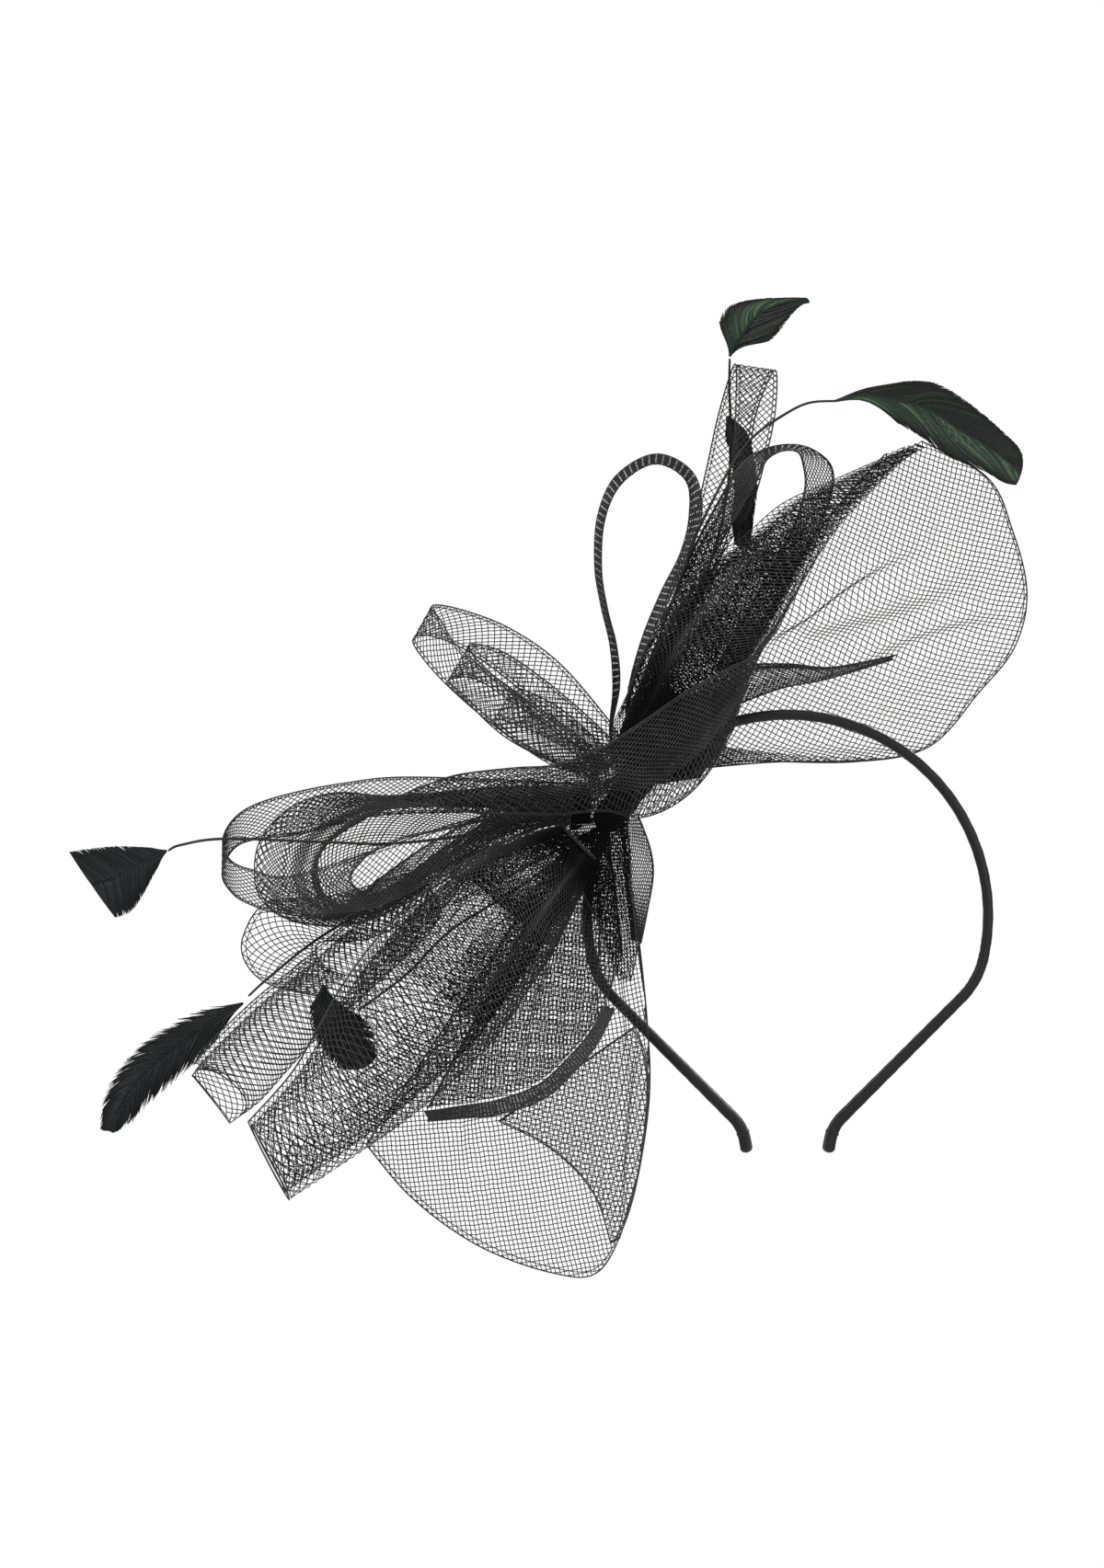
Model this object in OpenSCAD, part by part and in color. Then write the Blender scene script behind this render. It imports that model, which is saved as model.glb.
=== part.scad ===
// Fascinator headpiece: a springy satin headband that carries a knot of black crin
// (open horsehair braid) in petals, rolls and ribbon loops, and six trimmed feathers.
// Millimetres. +Z is up, +Y points to the back of the head, +X to the wearer's left.
// The origin is the centre of the circle that the headband's crown follows.

/* [Headband] */
// Radius of the crown's centreline
band_r = 65.4; // [60:0.2:72]
// Width of the band, along Y
band_w = 5; // [4:0.5:8]
// Thickness of the band with its satin cover
band_t = 3.3; // [2.8:0.1:4]
// Thickness of the spring steel strip inside
core_t = 1.1; // [0.8:0.1:1.5]
// Width of the spring steel strip inside
core_w = 3.2; // [2.4:0.2:4]
// Angle below the horizontal where a leg starts to turn in
leg_turn_at = 12; // [6:1:20]
// Radius of the turn from the crown's circle to the straight of the leg
leg_turn_r = 27; // [20:1:34]
// Straight length of the leg
leg_straight = 55; // [46:1:60]
// Radius of the outward turn at the end of the leg
foot_r = 14; // [10:1:20]
// Straight length after that turn
foot_straight = 2.5; // [1:0.5:6]
// Gap between a leg and the crown, where the strip bends
flex_gap = 0.3; // [0.3:0.05:0.5]

/* [Base] */
// Angle of the knot on the crown, from +Z towards -X
knot_angle = 51; // [46:1:56]
// Length of the felt pads
felt_l = 34; // [28:1:40]
// Width of the felt pads
felt_w = 10; // [9:0.5:14]
// Thickness of each felt pad
felt_t = 1.5; // [1:0.5:2]
// Turns of binding thread on each side of the knot
thread_turns = 5; // [3:1:7]
// Diameter of the binding thread
thread_d = 0.6; // [0.4:0.1:0.8]

/* [Crin] */
// Thickness of a sheet of crin
crin_t = 0.8; // [0.6:0.1:1]

/* [Feathers] */
// Thickness of a feather's vane
vane_t = 0.8; // [0.6:0.1:1]
// Diameter of a stripped quill
quill_d = 0.9; // [0.7:0.1:1.2]

/* [Hidden] */
$fn = 64;

crin_colour = [0.07, 0.07, 0.08];
satin_colour = [0.04, 0.04, 0.045];
felt_colour = [0.1, 0.1, 0.1];
steel_colour = [0.55, 0.56, 0.58];
quill_colour = [0.16, 0.13, 0.11];
black_feather = [0.05, 0.05, 0.06];
green_feather = [0.09, 0.24, 0.16];

// ---- Routes. Ribbons: one row per station, [edge A x, y, z, edge B x, y, z, belly towards -Y].

upper_fan_route = [
    [-21, 9, 53, -16, 9, 50, 0], [-18, 9, 60, 22, 10, 50, -1], [-14, 9, 70, 47, 17, 55, -3],
    [-9, 9, 82, 64, 24, 73, -5], [-3, 9, 91, 76, 28, 88, -6], [4, 9, 106, 80, 27, 106, -6],
    [13, 9, 121, 75, 22, 126, -4], [24, 8, 135, 66, 14, 143.5, -2], [37, 6, 149, 44, 7, 155, 0]
];
fan_pleat_route = [
    [-12, 5, 82, -18, 5, 68, 0], [1, 5, 82, -2, 5, 74, 0],
    [15, 6, 81, 13, 6, 77, 0], [36, 7, 85, 35, 7, 83.5, 0]
];
fan_hem_route = [
    [-25, 5, 55.5, -27, 5, 48, 0], [-5, 5, 53, -6, 5, 49.8, 0], [12, 5.5, 51.8, 12, 5.5, 50.2, 0],
    [30, 6, 51.5, 30, 6, 50.7, 0]
];
twist_wrap_route = [
    [-126, -22, 39, -124, -22, 37, 0], [-116, -24, 43, -113, -24, 35.5, 2],
    [-106, -26, 46, -103, -26, 33.5, 4], [-89, -29, 48, -87, -29, 33, 5],
    [-76, -32, 49, -74, -32, 33, 7], [-62, -34, 54, -60, -34, 34, 8],
    [-49, -34, 62, -48, -34, 32, 8], [-36, -33, 71, -36, -33, 37, 7], [-24, -31, 78, -26, -31, 47, 5],
    [-12, -29, 84, -17, -29, 63, 2]
];
upper_loop_outer_route = [
    [-60, 12, 66, -70, 5, 58, 0], [-75, 12, 83, -89, 4, 75, 0], [-91, 12, 94, -104, 4, 86, 0],
    [-107, 9, 100, -116, 1, 91, 0], [-116, 2, 101, -122, -6, 90, 0], [-113, -5, 96, -119, -13, 84, 0],
    [-106, -9, 86, -110, -17, 74, 0], [-89, -12, 73, -96, -19, 62, 0], [-69, -14, 59, -77, -19, 49, 0]
];
upper_loop_middle_route = [
    [-61, 4, 61, -69, -1, 55, 0], [-77, 4, 75, -86, -1, 67, 0], [-93, 3, 86, -102, -3, 77, 0],
    [-104, -2, 88, -111, -8, 76, 0], [-98, -5, 80, -105, -11, 70, 0], [-83, -8, 68, -92, -14, 58, 0],
    [-68, -10, 56, -75, -15, 49, 0]
];
upper_loop_inner_route = [
    [-62, -1, 57, -68, -4, 52, 0], [-75, -1, 68, -83, -4, 60, 0], [-89, -3, 74, -96, -7, 64, 0],
    [-80, -6, 63, -88, -9, 56, 0], [-67, -7, 54, -74, -10, 49, 0]
];
slim_loop_route = [
    [-58, 2, 58, -57, 20, 59, 0], [-57, 0, 74, -54.5, 18, 75, 0], [-58, -3, 88, -55.5, 15, 88, 0],
    [-61, -6, 101, -58.5, 12, 100, 0], [-63, -9, 114, -60.5, 9, 113, 0], [-62, -10, 130, -59.5, 8, 129, 0],
    [-56, -10, 143, -54, 8, 141, 0], [-43, -10, 150, -43, 8, 147.5, 0], [-31, -9, 144, -33, 9, 142, 0],
    [-28, -8, 131, -32, 10, 130, 0], [-32, -4, 117, -35, 11.3, 118, 0], [-37.5, 1, 105, -41, 17, 106, 0],
    [-45, 3, 89, -47.5, 19, 90, 0], [-50.5, 4, 74, -52, 20, 72, 0]
];
tall_loop_route = [
    [-40, 13, 102, -28, 13, 100, 0], [-30, 12, 131, -18, 12, 128, 0], [-26, 11, 147, -13, 11, 144, 0],
    [-22, 9, 165, -10, 9, 164, 0], [-17, 3, 180, -4, 3, 178, 0], [-17, -3, 165, -4, -3, 165, 0],
    [-18, -4, 149, -7, -4, 150, 0], [-22, 0, 132, -12, 1, 133, 0], [-30, 8, 118, -21, 8, 118, 0]
];
arch_loop_route = [
    [-36, 8, 106, -30, 8, 103, 0], [-30, 0, 121, -23, 0, 119, 0], [-22, -9, 136, -15, -9, 133, 0],
    [-16, -11, 146, -10, -11, 142, 0], [-9, -11, 151, -7, -9, 148, 0], [-1, -11, 153, -2, -5, 151, 0],
    [7, -8, 152, 3, -1, 151, 0], [14, 0, 147, 5, 4, 148, 0], [15, 6, 139, 6, 8, 140, 0],
    [11, 7.5, 128, 3, 8, 129, 0], [5, 7.5, 117, -2, 8, 119, 0]
];
left_loop_outer_route = [
    [-90, 7, 44, -90, 3, 34, 0], [-126, 9, 45, -128, 5, 33, 0], [-145, 10, 43, -146, 6, 30, 0],
    [-161, 9, 40, -161, 5, 26, 0], [-174, 6, 36, -172, 2, 25, 0], [-181, 1, 31, -180, -3, 22, 0],
    [-184, -6, 24, -184, -9, 14, 0], [-181, -12, 18, -181, -14, 8, 0], [-174, -15, 15, -175, -17, 4, 0],
    [-161, -17, 13, -163, -18, 1, 0], [-132, -18, 22, -134, -18, 3, 0], [-100, -17, 32, -104, -17, 17, 0]
];
left_loop_middle_route = [
    [-88, 3, 42, -88, 1, 35, 0], [-128, 3, 39, -127, 1, 35, 0], [-145, 2, 40, -140, 0, 30, 0],
    [-156, 1, 38, -149, -2, 24, 0], [-165, -1, 33, -152.5, -4, 19, 0], [-172, -5, 24, -153, -6, 15, 0],
    [-173.5, -8, 13, -152.5, -8, 11, 0], [-171, -10, 5, -151, -10, 7.5, 0],
    [-164, -12, -0.5, -148, -11, 5, 0], [-154, -13, -3, -144, -12, 3.5, 0],
    [-143, -13, -3, -138, -12, 6, 0], [-130, -13, 1, -127, -12, 11, 0],
    [-107, -13, 14, -109, -12, 24, 0], [-86, -13, 27, -88, -12, 35, 0]
];
left_loop_inner_route = [
    [-86, -2, 42, -86, -2, 33, 0], [-113, -2, 37, -111, -2, 28, 0], [-131, -2, 34, -125, -3, 25, 0],
    [-143, -4, 27, -136, -4, 20, 0], [-150, -5, 18, -141, -5, 15, 0], [-150, -7, 9, -142, -7, 11, 0],
    [-145, -8, 3, -138, -8, 8, 0], [-134, -9, 4, -133, -9, 12, 0], [-111, -9, 16, -114, -9, 25, 0],
    [-88, -9, 28, -90, -9, 36, 0]
];
lower_left_loop_route = [
    [-106, 12, 18, -103, 12, 6, 0], [-122, 14, 14, -117, 14, 1, 0], [-149, 16, 6, -137, 16, -8, 0],
    [-170, 15, 4, -152, 15, -9, 0], [-178, 12, -7, -154, 12, -12, 0], [-177, 9, -16, -153, 10, -15, 0],
    [-169, 8, -23, -150, 9, -18, 0], [-152, 8, -27, -144, 9, -20, 0]
];
petal_back_route = [
    [-70, -6, 26, -137, -16, -74, -3], [-68, -6, 27, -122, -21, -91, -1], [-66, -6, 27, -101, -24, -106, 1],
    [-64, -6, 28, -77, -23, -115, 2], [-62, -6, 28, -62, -20, -115, 2], [-60, -6, 29, -53, -15, -99, 2],
    [-58.5, -6, 29, -48, -11, -80, 2], [-57, -6, 30, -45, -8, -56, 2], [-55.5, -6, 30, -46, -6, -32, 1],
    [-54, -6, 31, -48.5, -6, -8, 0]
];
petal_front_route = [
    [-71, -14, 24, -117, -23, -62, -1], [-69, -14, 25, -106, -24, -60, 0], [-67, -14, 26, -94, -24, -58, 1],
    [-65, -14, 27, -81, -23, -53, 2], [-63.5, -14, 28, -72, -21, -45, 2], [-62, -14, 29, -65, -19, -37, 1],
    [-60.5, -14, 30, -59, -16, -27, 0], [-59, -14, 31, -54, -14, -12, 0]
];
petal_hem_route = [
    [-118, -25, -63, -117, -25, -66, 0], [-106, -27, -61, -106, -27, -65, 0],
    [-94, -27, -59, -93, -27, -63.5, 0],
    [-81, -26, -54, -79, -26, -58.5, 0], [-72, -24, -46, -69, -24, -49.5, 0],
    [-65, -21, -38, -62, -21, -41, 0],
    [-59, -18, -28, -56.5, -18, -30, 0]
];
petal_fold_route = [
    [-94, -24, -66, -50, -12, -36, 1], [-80, -25, -73, -46, -13, -48, 1],
    [-69, -25, -82, -46.5, -15, -67, 1],
    [-62, -25, -92, -50, -18, -88, 0], [-58, -25, -105, -55, -22, -104, 0]
];
side_petal_route = [
    [-56, -14, 32, -49, -14, 33, 0], [-54, -15, 24, -45, -15, 22, 1], [-53, -15, 13, -44, -15, 13, 1],
    [-52, -15, 3, -46, -15, 1, 1], [-51, -14, -8, -48, -14, -9, 0]
];
knot_tuck_route = [
    [-71, -17.5, 31, -52, -17.5, 32, 0], [-70, -17.5, 20, -51.5, -17.5, 20, 1],
    [-67, -20, 8, -51, -18.5, 8, 1], [-62, -21, -2, -50, -19, -2, 1],
    [-58.5, -21.5, -12, -49.5, -19, -12, 1], [-55, -21.5, -21, -51.5, -20, -21, 0]
];

// Rolls: one row per station, [left x, z, right x, z, centre y, half depth]. The sheet runs round an
// ellipse on that line from angle first to angle last, and the slot between them is its open seam.
upper_roll_route = [
    [-56, 41, -28, 45, -19, 8], [-58, 58, -20, 55, -16, 11], [-52, 73, -14, 69, -13, 13],
    [-46, 88, -8, 84, -11, 13], [-38, 102, -2, 93, -9, 13], [-27, 115, 5, 106, -8, 12],
    [-15, 123, 11, 117, -6, 10], [-2, 134, 18, 127, -4, 8], [13, 141, 27, 137, -2, 5],
    [31, 149, 38, 148, 0, 2.5]
];
small_roll_route = [
    [-118, 12, -112, 0, -1, 5], [-128, 8, -117, -8, -1, 6], [-144, -2, -128, -19, -1, 6],
    [-158, -14, -141, -31, -1, 6],
    [-172, -25, -152, -41, -1, 6], [-184, -36, -162, -52, -1, 6], [-193, -45, -171, -62, -1, 6],
    [-196, -50, -181, -69, -1, 6]
];
big_roll_route = [
    [-74, 30, -62, 18, -27, 6], [-93, 25, -68, 3, -30, 9], [-110, 16, -75, -12, -33, 12],
    [-125, 4, -83, -25, -34, 13],
    [-137, -9, -93, -40, -36, 14], [-146, -22, -107, -54, -38, 14], [-153, -35, -122, -66, -41, 13],
    [-161, -49, -137, -76, -44, 12], [-174, -64, -160, -91, -48, 10]
];

// Feathers: a vane is a ribbon from its quill end to its tip, and a quill is a list of points.
top_vane_route = [
    [-19.4, 2, 182.4, -18.2, 2, 182.4, 0], [-21.5, 1, 187, -13, 1, 185, 0.5], [-22, 0, 192, -7, 0, 187, 1],
    [-19, -1, 198, -3, -1, 191, 1], [-11, -2, 200.5, 1, -2, 196, 1], [-2, -3, 201, 4.5, -3, 199, 0.5],
    [6, -4, 201, 7, -4, 199.5, 0]
];
right_vane_route = [
    [15, -12, 167.8, 15, -12, 166.2, 0], [25, -12, 172, 25, -12, 166, 0.5],
    [39, -12, 173, 36, -12, 160, 1.5],
    [48, -12, 172, 43, -12, 156, 2], [58, -12, 166, 52, -12, 149.5, 2], [69, -11, 157, 64, -11, 144.5, 1.5],
    [75, -10, 151, 70, -10, 141, 1], [76, -10, 146, 74, -10, 140, 0]
];
inner_vane_route = [
    [-21, 3, 162, -18, 3, 163.5, 0], [-20, 3, 156, -13, 3, 157, 0], [-18, 3, 148, -11, 3, 149, 0],
    [-17, 4, 139, -10, 5, 139, 0], [-18, 6, 130, -11, 6.5, 130, 0], [-17, 6, 121, -12, 6.5, 120, 0]
];
left_vane_route = [
    [-202, -10, 21.8, -202, -10, 20.2, 0], [-210, -10, 22, -206, -10, 14, 0.5],
    [-218, -10, 22, -210, -10, 7, 1],
    [-227, -10, 21, -214, -10, 2, 1], [-233, -10, 20, -219, -10, 0, 0]
];
lower_vane_route = [
    [-178, 19, -28, -179, 19, -31, 0], [-187, 19, -30.5, -184, 19, -37, 1],
    [-196, 19, -33.5, -190.5, 19, -45, 1], [-205, 18, -38.5, -197, 18, -51, 1],
    [-213, 17, -44.5, -204, 17, -57, 1], [-220, 16, -53, -209.5, 16, -62, 1],
    [-224, 15.5, -62, -214.5, 15.5, -67.5, 0.5], [-225, 15, -70.5, -220, 15, -71.5, 0]
];
leaf_vane_route = [
    [-152, -11, -22, -150, -11, -23, 0], [-155, -11, -30, -145, -11, -29, 0],
    [-154, -11, -38, -138, -11, -34, 0.5],
    [-150, -11, -45, -135, -11, -39, 0.5], [-145, -11, -49.5, -134, -11, -46, 0],
    [-141, -11, -50, -137, -11, -49, 0]
];
top_quill_route = [
    [-18.8, 2, 181.6], [-18.9, 4, 172], [-18.5, 6, 162], [-19, 8, 142], [-24, 10, 118], [-36, 10, 88],
    [-48, 2, 62], [-52, -8, 52]
];
right_quill_route = [
    [15, -12, 167], [7, -12, 166.5], [0, -11, 163.5], [-11, -8, 156], [-18, -8, 147], [-24, -10, 136],
    [-28, -10, 128], [-31.5, -8, 120], [-34, -5, 112], [-37, -1, 104], [-39.5, 2, 98], [-43, 6, 87],
    [-52, 0, 66], [-56, -8, 54]
];
left_quill_route = [
    [-201.2, -10, 21.2], [-197, -13, 23], [-183, -14, 25], [-152, -15, 24], [-128, -15.3, 23.5],
    [-101, -15, 27],
    [-76, -13, 34], [-62, -11, 38]
];
lower_quill_route = [
    [-176.6, 19, -27], [-170, 19, -21], [-155, 19, -9], [-137, 18, 2], [-119, 17, 13], [-92, 12, 24],
    [-68, 6, 34]
];
leaf_quill_route = [
    [-139.5, -11, -30.5], [-124, -11.5, -19], [-110, -12, -5], [-91, -12, 7], [-72, -11, 20], [-63, -10, 27]
];

// ---- Functions for routes and sheets.

steps = 2;
round_steps = 20;
vane_steps = 2;

function at(route, i) = route[max(0, min(len(route) - 1, i))];
function smooth(p, q, r, s, t) =
    0.5 * (2 * q + (r - p) * t + (2 * p - 5 * q + 4 * r - s) * t * t + (3 * q - p - 3 * r + s) * t * t * t);
function stations(route, n) = [
    for (i = [0 : len(route) - 2])
        for (k = [0 : i == len(route) - 2 ? n : n - 1])
            smooth(at(route, i - 1), route[i], route[i + 1], at(route, i + 2), k / n)
];
function ribbon_point(s, c) = [
    s[0] + (s[3] - s[0]) * c,
    s[1] + (s[4] - s[1]) * c - 4 * s[6] * c * (1 - c),
    s[2] + (s[5] - s[2]) * c
];
function roll_point(s, angle) = [
    (s[0] + s[2]) / 2 - (s[2] - s[0]) / 2 * cos(angle),
    s[4] - s[5] * sin(angle),
    (s[1] + s[3]) / 2 - (s[3] - s[1]) / 2 * cos(angle)
];
function ribbon_grid(route, n, across) = [
    for (s = stations(route, n)) [for (j = [0 : across]) ribbon_point(s, j / across)]
];
function roll_grid(route, n, around, first, last) = [
    for (s = stations(route, n)) [for (j = [0 : around]) roll_point(s, first + (last - first) * j / around)]
];
function unit(v) = v / max(norm(v), 0.000001);
function grid_normal(g, i, j) = unit(cross(
    at(g, i + 1)[j] - at(g, i - 1)[j],
    at(g[i], j + 1) - at(g[i], j - 1)
));

// A closed sheet of one thickness round a grid of points.
module sheet(g, thick) {
    rows = len(g);
    cols = len(g[0]);
    front = [for (i = [0 : rows - 1]) for (j = [0 : cols - 1]) g[i][j] + grid_normal(g, i, j) * thick / 2];
    back = [for (i = [0 : rows - 1]) for (j = [0 : cols - 1]) g[i][j] - grid_normal(g, i, j) * thick / 2];
    half = rows * cols;
    rim = concat(
        [for (j = [0 : cols - 1]) j],
        [for (i = [1 : rows - 1]) i * cols + cols - 1],
        [for (j = [cols - 2 : -1 : 0]) (rows - 1) * cols + j],
        [for (i = [rows - 2 : -1 : 1]) i * cols]
    );
    turns = len(rim);
    faces = concat(
        [for (i = [0 : rows - 2]) for (j = [0 : cols - 2]) each let (a = i * cols + j)
            [[a, a + 1, a + cols + 1], [a, a + cols + 1, a + cols]]],
        [for (i = [0 : rows - 2]) for (j = [0 : cols - 2]) each let (a = half + i * cols + j)
            [[a, a + cols + 1, a + 1], [a, a + cols, a + cols + 1]]],
        [for (k = [0 : turns - 1]) each let (a = rim[k], b = rim[(k + 1) % turns])
            [[a, b + half, b], [a, a + half, b + half]]]
    );
    polyhedron(points = concat(front, back), faces = faces, convexity = 8);
}

module crin_ribbon(route, across = 1) {
    color(crin_colour) sheet(ribbon_grid(route, steps, across), crin_t);
}

module crin_roll(route, first, last) {
    color(crin_colour) sheet(roll_grid(route, steps, round_steps, first, last), crin_t);
}

module vane(route, colour) {
    color(colour) sheet(ribbon_grid(route, vane_steps, 2), vane_t);
}

// A quill: a tube of six sides round a smooth line through the route's points.
module quill(route) {
    sides = 6;
    line = stations(route, 2);
    last = len(line) - 1;
    points = [
        for (i = [0 : last])
            let (along = unit(at(line, i + 1) - at(line, i - 1)))
                let (u = unit(cross(along, [0, 1, 0])), v = cross(along, u))
                    for (k = [0 : sides - 1])
                        let (turn = k * 360 / sides)
                            line[i] + quill_d / 2 * (cos(turn) * u + sin(turn) * v)
    ];
    faces = concat(
        [[for (k = [0 : sides - 1]) k]],
        [for (i = [0 : last - 1]) for (k = [0 : sides - 1]) let (m = (k + 1) % sides)
            [i * sides + k, (i + 1) * sides + k, (i + 1) * sides + m, i * sides + m]],
        [[for (k = [sides - 1 : -1 : 0]) last * sides + k]]
    );
    color(quill_colour) polyhedron(points = points, faces = faces, convexity = 4);
}

// ---- The headband, drawn in the XZ plane and extruded along Y.

leg_end_angle = -45;
turn_centre = (band_r - leg_turn_r) * [cos(leg_turn_at), -sin(leg_turn_at)];
turn_end = turn_centre + leg_turn_r * [cos(leg_end_angle), sin(leg_end_angle)];
foot_start = turn_end - leg_straight * [cos(45), sin(45)];
foot_turn = 35;
foot_centre = foot_start + foot_r * [cos(45), -sin(45)];
foot_end_angle = leg_end_angle + foot_turn;
foot_end = foot_centre - foot_r * [cos(foot_end_angle), sin(foot_end_angle)];
foot_dir = [sin(foot_end_angle), -cos(foot_end_angle)];

// Each row is a point on the right leg's centreline and the angle of its outward side.
leg_line = concat(
    [for (a = [0 : -3 : -leg_turn_at]) [band_r * [cos(a), sin(a)], a]],
    [for (a = [-leg_turn_at - 3 : -3 : leg_end_angle]) [turn_centre + leg_turn_r * [cos(a), sin(a)], a]],
    [for (a = [leg_end_angle : 5 : foot_end_angle]) [foot_centre - foot_r * [cos(a), sin(a)], a]]
);

function beside(row, out) = row[0] + out * [cos(row[1]), sin(row[1])];

// Turns a drawing in the XZ plane into a solid of one width, centred on Y = 0.
module across_y(wide) {
    rotate([90, 0, 0]) linear_extrude(wide, center = true) children();
}

module crown_shape(thick, wide) {
    across_y(wide) difference() {
        circle(band_r + thick / 2, $fn = 180);
        circle(band_r - thick / 2, $fn = 180);
        translate([0, -2 * band_r]) square(4 * band_r, center = true);
        for (side = [-1, 1]) translate([side * band_r, 0]) circle(band_t / 2 + flex_gap);
    }
}

// The leg, with a round end on the line it bends about. The channel for the strip runs past its open end.
module leg_shape(thick, wide, past_end = 0) {
    last = leg_line[len(leg_line) - 1];
    end = past_end > 0 ? [[last[0] + past_end * foot_dir, last[1]]] : [];
    line = concat(leg_line, end);
    across_y(wide) polygon(concat(
        [for (a = [170 : -10 : 10]) [band_r, 0] + thick / 2 * [cos(a), sin(a)]],
        [for (row = line) beside(row, thick / 2)],
        [for (i = [len(line) - 1 : -1 : 0]) beside(line[i], -thick / 2)]
    ));
}

module steel_crown() {
    color(steel_colour) crown_shape(core_t, core_w);
}

module steel_right_leg() {
    color(steel_colour) leg_shape(core_t, core_w);
}

module steel_left_leg() {
    mirror([1, 0, 0]) steel_right_leg();
}

module satin_crown() {
    color(satin_colour) difference() {
        crown_shape(band_t, band_w);
        crown_shape(core_t, core_w);
    }
}

module satin_right_leg() {
    color(satin_colour) difference() {
        leg_shape(band_t, band_w);
        leg_shape(core_t, core_w, 1);
    }
}

module satin_left_leg() {
    mirror([1, 0, 0]) satin_right_leg();
}

module right_tip_cap() {
    across = band_t / 2 * [cos(foot_end_angle), sin(foot_end_angle)];
    far = foot_end + foot_straight * foot_dir;
    color(satin_colour) across_y(band_w) polygon(concat(
        [foot_end - across, foot_end + across],
        [for (a = [0 : -10 : -180]) far + band_t / 2 * [cos(a + foot_end_angle), sin(a + foot_end_angle)]]
    ));
}

module left_tip_cap() {
    mirror([1, 0, 0]) right_tip_cap();
}

// ---- The base. The knot's frame has its origin on the band, x along the band and z outwards.

thread_from = 2;
thread_pitch = 0.9;
stitch_from = 8;
stitch_pitch = 3;
stitch_out = 3.7;
knot_at = band_r * [-sin(knot_angle), 0, cos(knot_angle)];

module at_knot() {
    translate(knot_at) rotate([0, -knot_angle, 0]) children();
}

// Cylinders where the stitches go through both pads, above and below the band.
module stitch_lines() {
    reach = band_w + 2 * felt_t + 1;
    for (side = [-1, 1])
        for (k = [0 : 2])
            for (z = [-1, 1])
                translate([side * (stitch_from + k * stitch_pitch), 0, z * stitch_out])
                    rotate([90, 0, 0]) cylinder(d = thread_d, h = reach, center = true);
}

module felt_pad(side) {
    color(felt_colour) at_knot() difference() {
        translate([0, side * (band_w + felt_t) / 2, 0]) across_y(felt_t) {
            square([felt_l - felt_w, felt_w], center = true);
            for (end = [-1, 1]) translate([end * (felt_l - felt_w) / 2, 0]) circle(d = felt_w);
        }
        stitch_lines();
    }
}

module felt_front() felt_pad(-1);
module felt_back() felt_pad(1);

// Each turn of thread goes round the band and both pads.
module binding_thread() {
    out = felt_w / 2 + thread_d / 2;
    deep = band_w / 2 + felt_t + thread_d / 2;
    color(black_feather) at_knot()
        for (side = [-1, 1])
            for (k = [0 : thread_turns - 1])
                translate([side * (thread_from + k * thread_pitch), 0, 0]) rotate([90, 0, 90])
                    linear_extrude(thread_d, center = true) difference() {
                        square(2 * [deep + thread_d / 2, out + thread_d / 2], center = true);
                        square(2 * [deep - thread_d / 2, out - thread_d / 2], center = true);
                    }
}

module base_stitches() {
    color(black_feather) at_knot() stitch_lines();
}

// ---- Crin and feathers.

module upper_fan() crin_ribbon(upper_fan_route, 6);
module fan_pleat() crin_ribbon(fan_pleat_route, 1);
module fan_hem() crin_ribbon(fan_hem_route, 1);
module upper_roll() crin_roll(upper_roll_route, 20, 350);
module twist_wrap() crin_ribbon(twist_wrap_route, 6);
module upper_loop_outer() crin_ribbon(upper_loop_outer_route);
module upper_loop_middle() crin_ribbon(upper_loop_middle_route);
module upper_loop_inner() crin_ribbon(upper_loop_inner_route);
module slim_loop() crin_ribbon(slim_loop_route);
module tall_loop() crin_ribbon(tall_loop_route);
module arch_loop() crin_ribbon(arch_loop_route);
module left_loop_outer() crin_ribbon(left_loop_outer_route);
module left_loop_middle() crin_ribbon(left_loop_middle_route);
module left_loop_inner() crin_ribbon(left_loop_inner_route);
module lower_left_loop() crin_ribbon(lower_left_loop_route);
module small_roll() crin_roll(small_roll_route, 20, 350);
module big_roll() crin_roll(big_roll_route, 20, 350);
module petal_back() crin_ribbon(petal_back_route, 5);
module petal_front() crin_ribbon(petal_front_route, 4);
module petal_hem() crin_ribbon(petal_hem_route);
module petal_fold() crin_ribbon(petal_fold_route, 3);
module side_petal() crin_ribbon(side_petal_route, 3);
module knot_tuck() crin_ribbon(knot_tuck_route, 3);
module top_feather_quill() quill(top_quill_route);
module top_feather_vane() vane(top_vane_route, green_feather);
module right_feather_quill() quill(right_quill_route);
module right_feather_vane() vane(right_vane_route, green_feather);
module inner_feather_vane() vane(inner_vane_route, black_feather);
module left_feather_quill() quill(left_quill_route);
module left_feather_vane() vane(left_vane_route, black_feather);
module lower_feather_quill() quill(lower_quill_route);
module lower_feather_vane() vane(lower_vane_route, black_feather);
module leaf_feather_quill() quill(leaf_quill_route);
module leaf_feather_vane() vane(leaf_vane_route, black_feather);

steel_crown();
steel_left_leg();
steel_right_leg();
satin_crown();
satin_left_leg();
satin_right_leg();
left_tip_cap();
right_tip_cap();
felt_front();
felt_back();
binding_thread();
base_stitches();
upper_fan();
fan_pleat();
fan_hem();
upper_roll();
twist_wrap();
upper_loop_outer();
upper_loop_middle();
upper_loop_inner();
slim_loop();
tall_loop();
arch_loop();
left_loop_outer();
left_loop_middle();
left_loop_inner();
lower_left_loop();
small_roll();
big_roll();
petal_back();
petal_front();
petal_hem();
petal_fold();
side_petal();
knot_tuck();
top_feather_quill();
top_feather_vane();
right_feather_quill();
right_feather_vane();
inner_feather_vane();
left_feather_quill();
left_feather_vane();
lower_feather_quill();
lower_feather_vane();
leaf_feather_quill();
leaf_feather_vane();
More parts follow.
